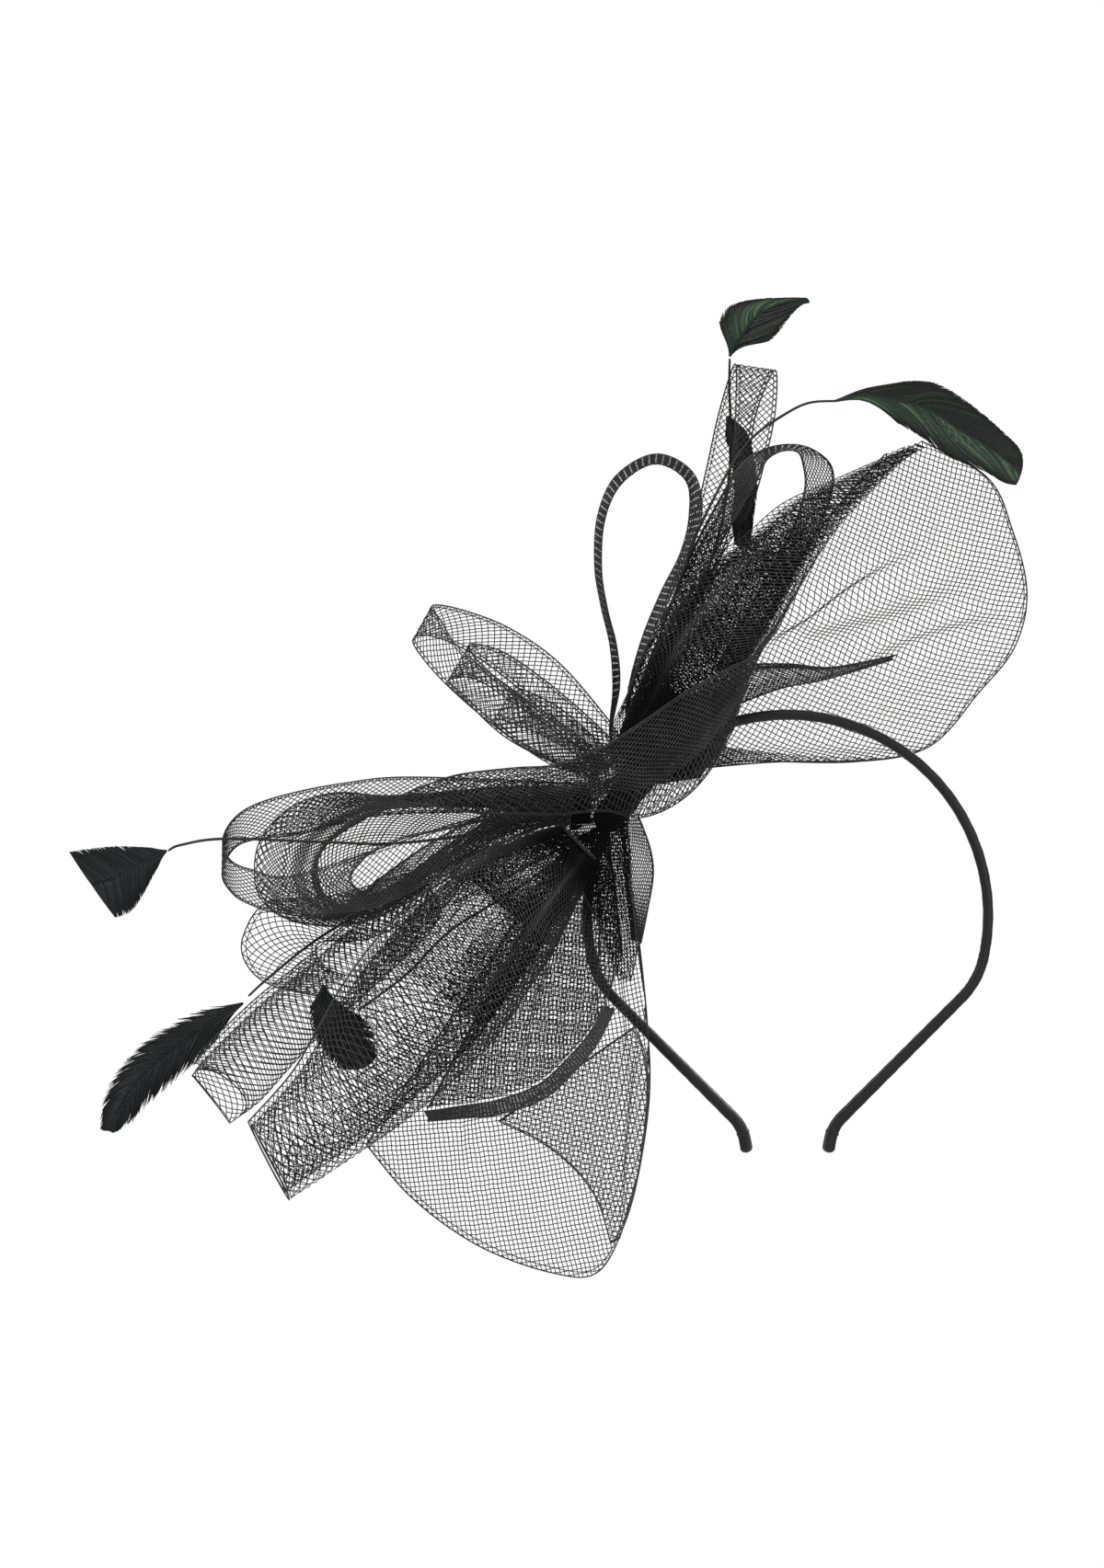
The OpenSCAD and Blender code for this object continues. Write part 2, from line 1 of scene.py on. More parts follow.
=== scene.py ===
"""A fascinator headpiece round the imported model's frame, in metres.

The headband's satin, the felt base with its threads, the crin (an open braid of nylon thread) and
the feathers are meshes built on the same routes as the CAD part, whose numbers are millimetres. The
loops, the fan, the upper roll's tail and the tuck run on further than there, and say so below.
"""
import math

import bpy
import numpy as np
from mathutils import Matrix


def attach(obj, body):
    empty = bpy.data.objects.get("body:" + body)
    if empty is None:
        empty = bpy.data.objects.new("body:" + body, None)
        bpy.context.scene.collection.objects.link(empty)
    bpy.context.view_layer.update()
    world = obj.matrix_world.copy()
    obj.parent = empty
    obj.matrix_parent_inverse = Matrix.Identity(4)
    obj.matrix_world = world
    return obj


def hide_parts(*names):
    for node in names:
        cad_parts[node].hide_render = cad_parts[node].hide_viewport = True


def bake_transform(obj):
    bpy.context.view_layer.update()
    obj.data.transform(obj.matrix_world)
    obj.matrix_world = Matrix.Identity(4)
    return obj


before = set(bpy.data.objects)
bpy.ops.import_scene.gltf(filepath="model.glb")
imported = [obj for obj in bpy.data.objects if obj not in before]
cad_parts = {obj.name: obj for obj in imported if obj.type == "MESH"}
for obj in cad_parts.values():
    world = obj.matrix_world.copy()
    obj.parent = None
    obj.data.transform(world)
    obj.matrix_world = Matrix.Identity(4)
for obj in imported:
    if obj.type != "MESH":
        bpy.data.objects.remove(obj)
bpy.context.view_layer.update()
draw = np.random.default_rng(11)
MM = 0.001

# ---- Camera, light and floor.

VIEW_HEIGHT = 0.5115
VIEW_CENTRE = (-0.0768, 0.04275)
CAMERA_FAR = 2.2
FLOOR_Z = -0.34
FLOOR_RADIUS, FLOOR_CORNERS = 0.8, 96
SKY_LIGHT = 0.35
LIGHT_AIM = (-0.08, 0, 0.05)


def placed(name, data):
    made = bpy.data.objects.new(name, data)
    bpy.context.scene.collection.objects.link(made)
    return made


def camera():
    data = bpy.data.cameras.new("camera")
    data.sensor_fit = "VERTICAL"
    data.angle = 2 * math.atan(VIEW_HEIGHT / 2 / CAMERA_FAR)
    data.clip_end = 20
    eye = placed("camera", data)
    eye.location = (VIEW_CENTRE[0], -CAMERA_FAR, VIEW_CENTRE[1])
    eye.rotation_euler = (math.pi / 2, 0, 0)
    bpy.context.scene.camera = eye


def soft_light(name, place, size, power):
    data = bpy.data.lights.new(name, "AREA")
    data.shape = "DISK"
    data.size = size
    data.energy = power
    lamp = placed(name, data)
    lamp.location = place
    aim = placed(name + "_aim", None)
    aim.location = LIGHT_AIM
    track = lamp.constraints.new("TRACK_TO")
    track.target = aim
    track.track_axis = "TRACK_NEGATIVE_Z"
    track.up_axis = "UP_Y"


def studio():
    world = bpy.data.worlds.new("studio")
    world.use_nodes = True
    tree = world.node_tree
    sky = tree.nodes["Background"]
    sky.inputs["Color"].default_value = (1, 1, 1, 1)
    # The backdrop shows white, and lights the object with less than that.
    rays = tree.nodes.new("ShaderNodeLightPath")
    level = tree.nodes.new("ShaderNodeMapRange")
    level.inputs["To Min"].default_value = SKY_LIGHT
    level.inputs["To Max"].default_value = 1.0
    tree.links.new(rays.outputs["Is Camera Ray"], level.inputs["Value"])
    tree.links.new(level.outputs["Result"], sky.inputs["Strength"])
    bpy.context.scene.world = world
    bpy.context.scene.view_settings.view_transform = "Standard"
    soft_light("key", (-0.9, -1.5, 1.2), 0.9, 14)
    soft_light("fill", (1.2, -1.2, 0.5), 0.8, 6)
    soft_light("rim", (0.6, 1.3, 0.9), 0.6, 6)
    turn = np.linspace(0, 2 * math.pi, FLOOR_CORNERS + 1)[:-1]
    rim = [(FLOOR_RADIUS * math.cos(a), FLOOR_RADIUS * math.sin(a), FLOOR_Z) for a in turn]
    mesh = bpy.data.meshes.new("floor")
    mesh.from_pydata(rim, [], [list(range(len(rim)))])
    floor = placed("floor", mesh)
    paint = bpy.data.materials.new("floor")
    paint.use_nodes = True
    shader = paint.node_tree.nodes["Principled BSDF"]
    shader.inputs["Base Color"].default_value = (0.86, 0.86, 0.85, 1)
    shader.inputs["Roughness"].default_value = 0.85
    mesh.materials.append(paint)


# ---- Materials.


class Shader:
    """A Principled material and short calls for the nodes that feed it."""

    def __init__(self, name):
        self.material = bpy.data.materials.new(name)
        self.material.use_nodes = True
        self.tree = self.material.node_tree
        self.main = self.tree.nodes["Principled BSDF"]

    def set(self, **values):
        for key, value in values.items():
            self.main.inputs[key.replace("_", " ")].default_value = value
        return self

    def node(self, kind, **inputs):
        made = self.tree.nodes.new("ShaderNode" + kind)
        for key, value in inputs.items():
            made.inputs[key].default_value = value
        return made

    def link(self, out, into):
        self.tree.links.new(out, into)

    def place(self, scale=(1, 1, 1), turn=0.0):
        """Object coordinates in metres, scaled along each axis."""
        where = self.node("TexCoord")
        sized = self.node("Mapping", Scale=scale, Rotation=(0, turn, 0))
        self.link(where.outputs["Object"], sized.inputs["Vector"])
        return sized.outputs["Vector"]

    def noise(self, scale, detail=3.0, stretch=(1, 1, 1), turn=0.0):
        made = self.node("TexNoise", Scale=scale, Detail=detail)
        self.link(self.place(stretch, turn), made.inputs["Vector"])
        return made.outputs["Fac"]

    def attribute(self, name):
        made = self.tree.nodes.new("ShaderNodeAttribute")
        made.attribute_name = name
        return made.outputs["Fac"]

    def ramp(self, value, stops):
        made = self.tree.nodes.new("ShaderNodeValToRGB")
        points = made.color_ramp.elements
        while len(points) < len(stops):
            points.new(0.5)
        for point, (at, colour) in zip(points, stops):
            point.position = at
            point.color = (*colour, 1)
        self.link(value, made.inputs["Fac"])
        return made.outputs["Color"]

    def spread(self, value, low, high):
        made = self.tree.nodes.new("ShaderNodeMapRange")
        made.inputs["To Min"].default_value = low
        made.inputs["To Max"].default_value = high
        self.link(value, made.inputs["Value"])
        return made.outputs["Result"]

    def colour(self, value, stops):
        self.link(self.ramp(value, stops), self.main.inputs["Base Color"])

    def rough(self, scale, low, high):
        self.link(self.spread(self.noise(scale), low, high), self.main.inputs["Roughness"])

    def mix(self, share, a, b):
        made = self.tree.nodes.new("ShaderNodeMix")
        made.data_type = "RGBA"
        self.link(share, made.inputs["Factor"])
        self.link(a, made.inputs["A"])
        self.link(b, made.inputs["B"])
        return made.outputs["Result"]

    def bump(self, height, strength, distance):
        made = self.node("Bump", Strength=strength, Distance=distance)
        self.link(height, made.inputs["Height"])
        self.link(made.outputs["Normal"], self.main.inputs["Normal"])


def crin_material(name, dark, light, inside):
    """Threads that lie inside a roll or behind a layer, where inner is 1, are painted darker and duller, as
    painted shade that the soft light doesn't give them.
    """
    s = Shader(name)
    inner = s.attribute("inner")
    outer = s.ramp(s.noise(90), [(0.3, dark), (0.75, light)])
    # Painted shade: the base colour goes to inside where inner is 1.
    s.link(s.mix(inner, outer, s.ramp(inner, [(0.0, inside), (1.0, inside)])), s.main.inputs["Base Color"])
    s.rough(400, 0.25, 0.42)
    # Painted shade also lowers the specular where inner is 1.
    s.link(s.spread(inner, 0.45, 0.1), s.main.inputs["Specular IOR Level"])
    return s.material


def satin_material():
    s = Shader("satin")
    s.colour(s.noise(60), [(0.3, (0.006, 0.006, 0.007)), (0.8, (0.012, 0.011, 0.012))])
    twill = s.node("TexWave", Scale=2600, Distortion=0.6, Detail=1)
    s.link(s.place((1, 1, 1), 0.6), twill.inputs["Vector"])
    slub = s.noise(900, 3, (1, 4, 1))
    both = s.tree.nodes.new("ShaderNodeMath")
    both.operation = "ADD"
    s.link(twill.outputs["Fac"], both.inputs[0])
    s.link(slub, both.inputs[1])
    s.bump(both.outputs["Value"], 0.25, 0.00008)
    s.rough(300, 0.34, 0.46)
    s.set(Specular_IOR_Level=0.45, Sheen_Weight=0.12, Sheen_Roughness=0.4)
    return s.material


def plain_material(name, scale, detail, stops, **values):
    """Mottled in colour, and even in everything else."""
    s = Shader(name)
    s.colour(s.noise(scale, detail), stops)
    return s.set(**values)


def felt_material():
    s = plain_material("felt", 700, 6, [(0.3, (0.008, 0.008, 0.009)), (0.75, (0.03, 0.03, 0.032))],
                       Roughness=0.95, Sheen_Weight=0.35, Sheen_Roughness=0.6, Specular_IOR_Level=0.2)
    s.bump(s.noise(2500, 8), 0.6, 0.0003)
    return s


def feather_material(name, middle, edge, sheen):
    """Barbs are coloured by how far out along a barb a point is, with streaks from barb to barb."""
    s = Shader(name)
    out = s.attribute("barb_out")
    streak = s.attribute("barb_tone")
    inner = s.ramp(streak, [(0.0, tuple(0.5 * v for v in middle)), (0.6, middle), (1.0, sheen)])
    outer = s.ramp(streak, [(0.0, tuple(0.6 * v for v in edge)), (1.0, edge)])
    s.link(s.mix(s.ramp(out, [(0.45, (0, 0, 0)), (0.85, (1, 1, 1))]), inner, outer),
           s.main.inputs["Base Color"])
    s.rough(500, 0.3, 0.5)
    s.set(Specular_IOR_Level=0.4, Sheen_Weight=0.05)
    return s.material


def steel_material(name):
    s = Shader(name)
    s.set(Metallic=1.0)
    s.colour(s.noise(40, 4, (1, 30, 1)), [(0.3, (0.4, 0.41, 0.43)), (0.8, (0.55, 0.56, 0.58))])
    s.rough(900, 0.28, 0.42)
    return s.material


# ---- Routes of the ribbons, rolls, vanes and quills, in millimetres, as in the CAD part.
# Ribbons: one row per station, [edge A x, y, z, edge B x, y, z, belly towards -Y], with no belly if left out.

UPPER_FAN = [
    [-21, 9, 53, -16, 9, 50], [-18, 9, 60, 22, 10, 50, -1], [-14, 9, 70, 47, 17, 55, -3],
    [-9, 9, 82, 64, 24, 73, -5], [-3, 9, 91, 76, 28, 88, -6], [4, 9, 106, 80, 27, 106, -6],
    [13, 9, 121, 75, 22, 126, -4], [24, 8, 135, 66, 14, 143.5, -2], [37, 6, 149, 44, 7, 155]
]
FAN_PLEAT = [
    [-12, 5, 82, -18, 5, 68], [1, 5, 82, -2, 5, 74], [15, 6, 81, 13, 6, 77], [36, 7, 85, 35, 7, 83.5]
]
FAN_HEM = [
    [-25, 5, 55.5, -27, 5, 48], [-5, 5, 53, -6, 5, 49.8], [12, 5.5, 51.8, 12, 5.5, 50.2],
    [30, 6, 51.5, 30, 6, 50.7]
]
TWIST_WRAP = [
    [-126, -22, 39, -124, -22, 37], [-116, -24, 43, -113, -24, 35.5, 2], [-106, -26, 46, -103, -26, 33.5, 4],
    [-89, -29, 48, -87, -29, 33, 5], [-76, -32, 49, -74, -32, 33, 7], [-62, -34, 54, -60, -34, 34, 8],
    [-49, -34, 62, -48, -34, 32, 8], [-36, -33, 71, -36, -33, 37, 7], [-24, -31, 78, -26, -31, 47, 5],
    [-12, -29, 84, -17, -29, 63, 2]
]
UPPER_LOOP_OUTER = [
    [-60, 12, 66, -70, 5, 58], [-75, 12, 83, -89, 4, 75], [-91, 12, 94, -104, 4, 86],
    [-107, 9, 100, -116, 1, 91], [-116, 2, 101, -122, -6, 90], [-113, -5, 96, -119, -13, 84],
    [-106, -9, 86, -110, -17, 74], [-89, -12, 73, -96, -19, 62], [-69, -14, 59, -77, -19, 49]
]
UPPER_LOOP_MIDDLE = [
    [-61, 4, 61, -69, -1, 55], [-77, 4, 75, -86, -1, 67], [-93, 3, 86, -102, -3, 77],
    [-104, -2, 88, -111, -8, 76], [-98, -5, 80, -105, -11, 70], [-83, -8, 68, -92, -14, 58],
    [-68, -10, 56, -75, -15, 49]
]
UPPER_LOOP_INNER = [
    [-62, -1, 57, -68, -4, 52], [-75, -1, 68, -83, -4, 60], [-89, -3, 74, -96, -7, 64],
    [-80, -6, 63, -88, -9, 56], [-67, -7, 54, -74, -10, 49]
]
SLIM_LOOP = [
    [-58, 2, 58, -57, 20, 59], [-57, 0, 74, -54.5, 18, 75], [-58, -3, 88, -55.5, 15, 88],
    [-61, -6, 101, -58.5, 12, 100], [-63, -9, 114, -60.5, 9, 113], [-62, -10, 130, -59.5, 8, 129],
    [-56, -10, 143, -54, 8, 141], [-43, -10, 150, -43, 8, 147.5], [-31, -9, 144, -33, 9, 142],
    [-28, -8, 131, -32, 10, 130], [-32, -4, 117, -35, 11.3, 118], [-37.5, 1, 105, -41, 17, 106],
    [-45, 3, 89, -47.5, 19, 90], [-50.5, 4, 74, -52, 20, 72]
]
TALL_LOOP = [
    [-40, 13, 102, -28, 13, 100], [-30, 12, 131, -18, 12, 128], [-26, 11, 147, -13, 11, 144],
    [-22, 9, 165, -10, 9, 164], [-17, 3, 180, -4, 3, 178], [-17, -3, 165, -4, -3, 165],
    [-18, -4, 149, -7, -4, 150], [-22, 0, 132, -12, 1, 133], [-30, 8, 118, -21, 8, 118]
]
ARCH_LOOP = [
    [-36, 8, 106, -30, 8, 103], [-30, 0, 121, -23, 0, 119], [-22, -9, 136, -15, -9, 133],
    [-16, -11, 146, -10, -11, 142], [-9, -11, 151, -7, -9, 148], [-1, -11, 153, -2, -5, 151],
    [7, -8, 152, 3, -1, 151], [14, 0, 147, 5, 4, 148], [15, 6, 139, 6, 8, 140], [11, 7.5, 128, 3, 8, 129],
    [5, 7.5, 117, -2, 8, 119]
]
LEFT_LOOP_OUTER = [
    [-90, 7, 44, -90, 3, 34], [-126, 9, 45, -128, 5, 33], [-145, 10, 43, -146, 6, 30],
    [-161, 9, 40, -161, 5, 26], [-174, 6, 36, -172, 2, 25], [-181, 1, 31, -180, -3, 22],
    [-184, -6, 24, -184, -9, 14], [-181, -12, 18, -181, -14, 8], [-174, -15, 15, -175, -17, 4],
    [-161, -17, 13, -163, -18, 1], [-132, -18, 22, -134, -18, 3], [-100, -17, 32, -104, -17, 17]
]
LEFT_LOOP_MIDDLE = [
    [-88, 3, 42, -88, 1, 35], [-128, 3, 39, -127, 1, 35], [-145, 2, 40, -140, 0, 30],
    [-156, 1, 38, -149, -2, 24], [-165, -1, 33, -152.5, -4, 19], [-172, -5, 24, -153, -6, 15],
    [-173.5, -8, 13, -152.5, -8, 11], [-171, -10, 5, -151, -10, 7.5], [-164, -12, -0.5, -148, -11, 5],
    [-154, -13, -3, -144, -12, 3.5], [-143, -13, -3, -138, -12, 6], [-130, -13, 1, -127, -12, 11],
    [-107, -13, 14, -109, -12, 24], [-86, -13, 27, -88, -12, 35]
]
LEFT_LOOP_INNER = [
    [-86, -2, 42, -86, -2, 33], [-113, -2, 37, -111, -2, 28], [-131, -2, 34, -125, -3, 25],
    [-143, -4, 27, -136, -4, 20], [-150, -5, 18, -141, -5, 15], [-150, -7, 9, -142, -7, 11],
    [-145, -8, 3, -138, -8, 8], [-134, -9, 4, -133, -9, 12], [-111, -9, 16, -114, -9, 25],
    [-88, -9, 28, -90, -9, 36]
]
LOWER_LEFT_LOOP = [
    [-106, 12, 18, -103, 12, 6], [-122, 14, 14, -117, 14, 1], [-149, 16, 6, -137, 16, -8],
    [-170, 15, 4, -152, 15, -9], [-178, 12, -7, -154, 12, -12], [-177, 9, -16, -153, 10, -15],
    [-169, 8, -23, -150, 9, -18], [-152, 8, -27, -144, 9, -20]
]
PETAL_BACK = [
    [-70, -6, 26, -137, -16, -74, -3], [-68, -6, 27, -122, -21, -91, -1], [-66, -6, 27, -101, -24, -106, 1],
    [-64, -6, 28, -77, -23, -115, 2], [-62, -6, 28, -62, -20, -115, 2], [-60, -6, 29, -53, -15, -99, 2],
    [-58.5, -6, 29, -48, -11, -80, 2], [-57, -6, 30, -45, -8, -56, 2], [-55.5, -6, 30, -46, -6, -32, 1],
    [-54, -6, 31, -48.5, -6, -8]
]
PETAL_FRONT = [
    [-71, -14, 24, -117, -23, -62, -1], [-69, -14, 25, -106, -24, -60], [-67, -14, 26, -94, -24, -58, 1],
    [-65, -14, 27, -81, -23, -53, 2], [-63.5, -14, 28, -72, -21, -45, 2], [-62, -14, 29, -65, -19, -37, 1],
    [-60.5, -14, 30, -59, -16, -27], [-59, -14, 31, -54, -14, -12]
]
PETAL_HEM = [
    [-118, -25, -63, -117, -25, -66], [-106, -27, -61, -106, -27, -65], [-94, -27, -59, -93, -27, -63.5],
    [-81, -26, -54, -79, -26, -58.5], [-72, -24, -46, -69, -24, -49.5], [-65, -21, -38, -62, -21, -41],
    [-59, -18, -28, -56.5, -18, -30]
]
PETAL_FOLD = [
    [-94, -24, -66, -50, -12, -36, 1], [-80, -25, -73, -46, -13, -48, 1], [-69, -25, -82, -46.5, -15, -67, 1],
    [-62, -25, -92, -50, -18, -88], [-58, -25, -105, -55, -22, -104]
]
SIDE_PETAL = [
    [-56, -14, 32, -49, -14, 33], [-54, -15, 24, -45, -15, 22, 1], [-53, -15, 13, -44, -15, 13, 1],
    [-52, -15, 3, -46, -15, 1, 1], [-51, -14, -8, -48, -14, -9]
]
KNOT_TUCK = [
    [-71, -17.5, 31, -52, -17.5, 32], [-70, -17.5, 20, -51.5, -17.5, 20, 1], [-67, -20, 8, -51, -18.5, 8, 1],
    [-62, -21, -2, -50, -19, -2, 1], [-58.5, -21.5, -12, -49.5, -19, -12, 1],
    [-55, -21.5, -21, -51.5, -20, -21]
]

# Rolls: one row per station, [left x, z, right x, z, centre y, half depth] of the ellipse that the sheet
# is wound round.
UPPER_ROLL = [
    [-56, 41, -28, 45, -19, 8], [-58, 58, -20, 55, -16, 11], [-52, 73, -14, 69, -13, 13],
    [-46, 88, -8, 84, -11, 13], [-38, 102, -2, 93, -9, 13], [-27, 115, 5, 106, -8, 12],
    [-15, 123, 11, 117, -6, 10], [-2, 134, 18, 127, -4, 8], [13, 141, 27, 137, -2, 5],
    [31, 149, 38, 148, 0, 2.5]
]
SMALL_ROLL = [
    [-118, 12, -112, 0, -1, 5], [-128, 8, -117, -8, -1, 6], [-144, -2, -128, -19, -1, 6],
    [-158, -14, -141, -31, -1, 6], [-172, -25, -152, -41, -1, 6], [-184, -36, -162, -52, -1, 6],
    [-193, -45, -171, -62, -1, 6], [-196, -50, -181, -69, -1, 6]
]
BIG_ROLL = [
    [-74, 30, -62, 18, -27, 6], [-93, 25, -68, 3, -30, 9], [-110, 16, -75, -12, -33, 12],
    [-125, 4, -83, -25, -34, 13], [-137, -9, -93, -40, -36, 14], [-146, -22, -107, -54, -38, 14],
    [-153, -35, -122, -66, -41, 13], [-161, -49, -137, -76, -44, 12], [-174, -64, -160, -91, -48, 10]
]

# Feathers: a vane is a ribbon from its quill end to its tip, and a quill is a list of points.
TOP_VANE = [
    [-19.4, 2, 182.4, -18.2, 2, 182.4], [-21.5, 1, 187, -13, 1, 185, 0.5], [-22, 0, 192, -7, 0, 187, 1],
    [-19, -1, 198, -3, -1, 191, 1], [-11, -2, 200.5, 1, -2, 196, 1], [-2, -3, 201, 4.5, -3, 199, 0.5],
    [6, -4, 201, 7, -4, 199.5]
]
RIGHT_VANE = [
    [15, -12, 167.8, 15, -12, 166.2], [25, -12, 172, 25, -12, 166, 0.5], [39, -12, 173, 36, -12, 160, 1.5],
    [48, -12, 172, 43, -12, 156, 2], [58, -12, 166, 52, -12, 149.5, 2], [69, -11, 157, 64, -11, 144.5, 1.5],
    [75, -10, 151, 70, -10, 141, 1], [76, -10, 146, 74, -10, 140]
]
INNER_VANE = [
    [-21, 3, 162, -18, 3, 163.5], [-20, 3, 156, -13, 3, 157], [-18, 3, 148, -11, 3, 149],
    [-17, 4, 139, -10, 5, 139], [-18, 6, 130, -11, 6.5, 130], [-17, 6, 121, -12, 6.5, 120]
]
LEFT_VANE = [
    [-202, -10, 21.8, -202, -10, 20.2], [-210, -10, 22, -206, -10, 14, 0.5], [-218, -10, 22, -210, -10, 7, 1],
    [-227, -10, 21, -214, -10, 2, 1], [-233, -10, 20, -219, -10, 0]
]
LOWER_VANE = [
    [-178, 19, -28, -179, 19, -31], [-187, 19, -30.5, -184, 19, -37, 1],
    [-196, 19, -33.5, -190.5, 19, -45, 1], [-205, 18, -38.5, -197, 18, -51, 1],
    [-213, 17, -44.5, -204, 17, -57, 1], [-220, 16, -53, -209.5, 16, -62, 1],
    [-224, 15.5, -62, -214.5, 15.5, -67.5, 0.5], [-225, 15, -70.5, -220, 15, -71.5]
]
LEAF_VANE = [
    [-152, -11, -22, -150, -11, -23], [-155, -11, -30, -145, -11, -29], [-154, -11, -38, -138, -11, -34, 0.5],
    [-150, -11, -45, -135, -11, -39, 0.5], [-145, -11, -49.5, -134, -11, -46],
    [-141, -11, -50, -137, -11, -49]
]
TOP_QUILL = [
    [-18.8, 2, 181.6], [-18.9, 4, 172], [-18.5, 6, 162], [-19, 8, 142], [-24, 10, 118], [-36, 10, 88],
    [-48, 2, 62], [-52, -8, 52]
]
RIGHT_QUILL = [
    [15, -12, 167], [7, -12, 166.5], [0, -11, 163.5], [-11, -8, 156], [-18, -8, 147], [-24, -10, 136],
    [-28, -10, 128], [-31.5, -8, 120], [-34, -5, 112], [-37, -1, 104], [-39.5, 2, 98], [-43, 6, 87],
    [-52, 0, 66], [-56, -8, 54]
]
LEFT_QUILL = [
    [-201.2, -10, 21.2], [-197, -13, 23], [-183, -14, 25], [-152, -15, 24], [-128, -15.3, 23.5],
    [-101, -15, 27], [-76, -13, 34], [-62, -11, 38]
]
LOWER_QUILL = [
    [-176.6, 19, -27], [-170, 19, -21], [-155, 19, -9], [-137, 18, 2], [-119, 17, 13], [-92, 12, 24],
    [-68, 6, 34]
]
LEAF_QUILL = [
    [-139.5, -11, -30.5], [-124, -11.5, -19], [-110, -12, -5], [-91, -12, 7], [-72, -11, 20], [-63, -10, 27]
]


# ---- Surfaces: a ribbon or a roll gives the point for (t, c), t along its rows and c from 0 to 1 across.


def row_at(rows, t):
    """Rows joined by a smooth curve through each of them, as in the CAD part."""
    rows = np.asarray(rows, float)
    t = np.clip(t, 0, len(rows) - 1)
    i = np.minimum(np.floor(t).astype(int), len(rows) - 2)
    f = (t - i)[..., None]
    p, q, r, s = (rows[np.clip(i + k, 0, len(rows) - 1)] for k in (-1, 0, 1, 2))
    return 0.5 * (2 * q + (r - p) * f + (2 * p - 5 * q + 4 * r - s) * f**2 + (3 * q - p - 3 * r + s) * f**3)


def ripple(p, size):
    """Slow uneven waves, so that no sheet of crin lies dead flat."""
    x, y, z = p[..., 0], p[..., 1], p[..., 2]
    wave = np.sin(0.31 * x + 0.17 * z + 1.3) + np.sin(0.23 * z - 0.29 * x)
    wave = wave + np.sin(0.52 * x + 0.41 * z + 0.6 * y)
    return size * wave / 3


def ribbon(rows, wave=0.3, ridges=0, height=0.0):
    """ridges is how many folds of that height run along the ribbon side by side."""
    rows = [[*row, 0][:7] for row in rows]

    def surface(t, c):
        s = row_at(rows, t)
        p = s[..., :3] + (s[..., 3:6] - s[..., :3]) * c[..., None]
        p[..., 1] -= 4 * s[..., 6] * c * (1 - c)
        phase = 2 * math.pi * ridges * c + 1.1 * t + np.sin(0.7 * t)
        p[..., 1] += height * np.sin(phase) * np.sin(math.pi * c)
        p[..., 1] += ripple(p, wave)
        return p * MM

    return surface


def roll(rows, first, turns, shrink, wave=0.3):
    """A sheet wound inwards from its outer edge, at the angle first, for that many turns."""

    def surface(t, c):
        s = row_at(rows, t)
        angle = np.radians(first) + 2 * math.pi * turns * c
        size = 1 - shrink * c
        half_x, half_z = (s[..., 2] - s[..., 0]) / 2, (s[..., 3] - s[..., 1]) / 2
        x = (s[..., 0] + s[..., 2]) / 2 - half_x * size * np.cos(angle)
        z = (s[..., 1] + s[..., 3]) / 2 - half_z * size * np.cos(angle)
        y = s[..., 4] - s[..., 5] * size * np.sin(angle)
        p = np.stack([x, y, z], -1)
        p[..., 1] += ripple(p, wave)
        return p * MM

    return surface


def run_on(rows, start=None, end=None, width=6):
    """A ribbon's rows, carried on at either end into the knot, to the point given. The CAD solids end
    short of it, to stay clear of each other."""

    def into(row, point):
        a, b = np.array(row[:3], float), np.array(row[3:6], float)
        half = unit(a - b) * width / 2
        return [*(point + half), *(point - half)]

    before = [into(rows[0], np.array(start, float))] if start else []
    after = [into(rows[-1], np.array(end, float))] if end else []
    return before + list(rows) + after


def normal_of(surface, t, c):
    step = 0.004
    across = surface(t, np.clip(c + step, 0, 1)) - surface(t, np.clip(c - step, 0, 1))
    along = surface(t + step, c) - surface(t - step, c)
    return unit(np.cross(along, across))


def unit(v):
    return v / np.maximum(np.linalg.norm(v, axis=-1, keepdims=True), 1e-12)


def run_along(line):
    """How far along a line each of its points is."""
    return np.concatenate([[0], np.cumsum(np.linalg.norm(np.diff(line, axis=0), axis=1))])


def at_run(line, run, where):
    """The points of a line that are at the distances where along it."""
    return np.stack([np.interp(where, run, column) for column in line.T], 1)


# ---- Meshes.


class Pieces:
    """Points, faces and per-point values of one mesh, added bit by bit."""

    def __init__(self):
        self.points, self.faces, self.values, self.count = [], [], [], 0

    def add(self, points, faces, **values):
        points = np.asarray(points, float).reshape(-1, 3)
        self.points.append(points)
        self.faces.append(faces + self.count)
        self.values.append({k: np.broadcast_to(v, len(points)) for k, v in values.items()})
        self.count += len(points)

    def make(self, name, body, slot, *nodes):
        points = np.concatenate(self.points)
        mesh = bpy.data.meshes.new(name)
        mesh.from_pydata(points.tolist(), [], [f for block in self.faces for f in block.tolist()])
        mesh.polygons.foreach_set("use_smooth", [True] * len(mesh.polygons))
        for key in self.values[0]:
            layer = mesh.attributes.new(key, "FLOAT", "POINT")
            layer.data.foreach_set("value", np.concatenate([v[key] for v in self.values]).astype(np.float32))
        mesh.materials.append(SKINS[slot])
        mesh.validate()
        made = placed(name, mesh)
        if body:
            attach(made, body)
        if nodes:
            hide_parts(*nodes)
        return made


def ring_quads(index):
    """Quads between neighbouring rings of points, with each ring on the last axis of index."""
    a, b = index[..., :-1, :], index[..., 1:, :]
    return np.stack([a, np.roll(a, -1, -1), np.roll(b, -1, -1), b], -1)


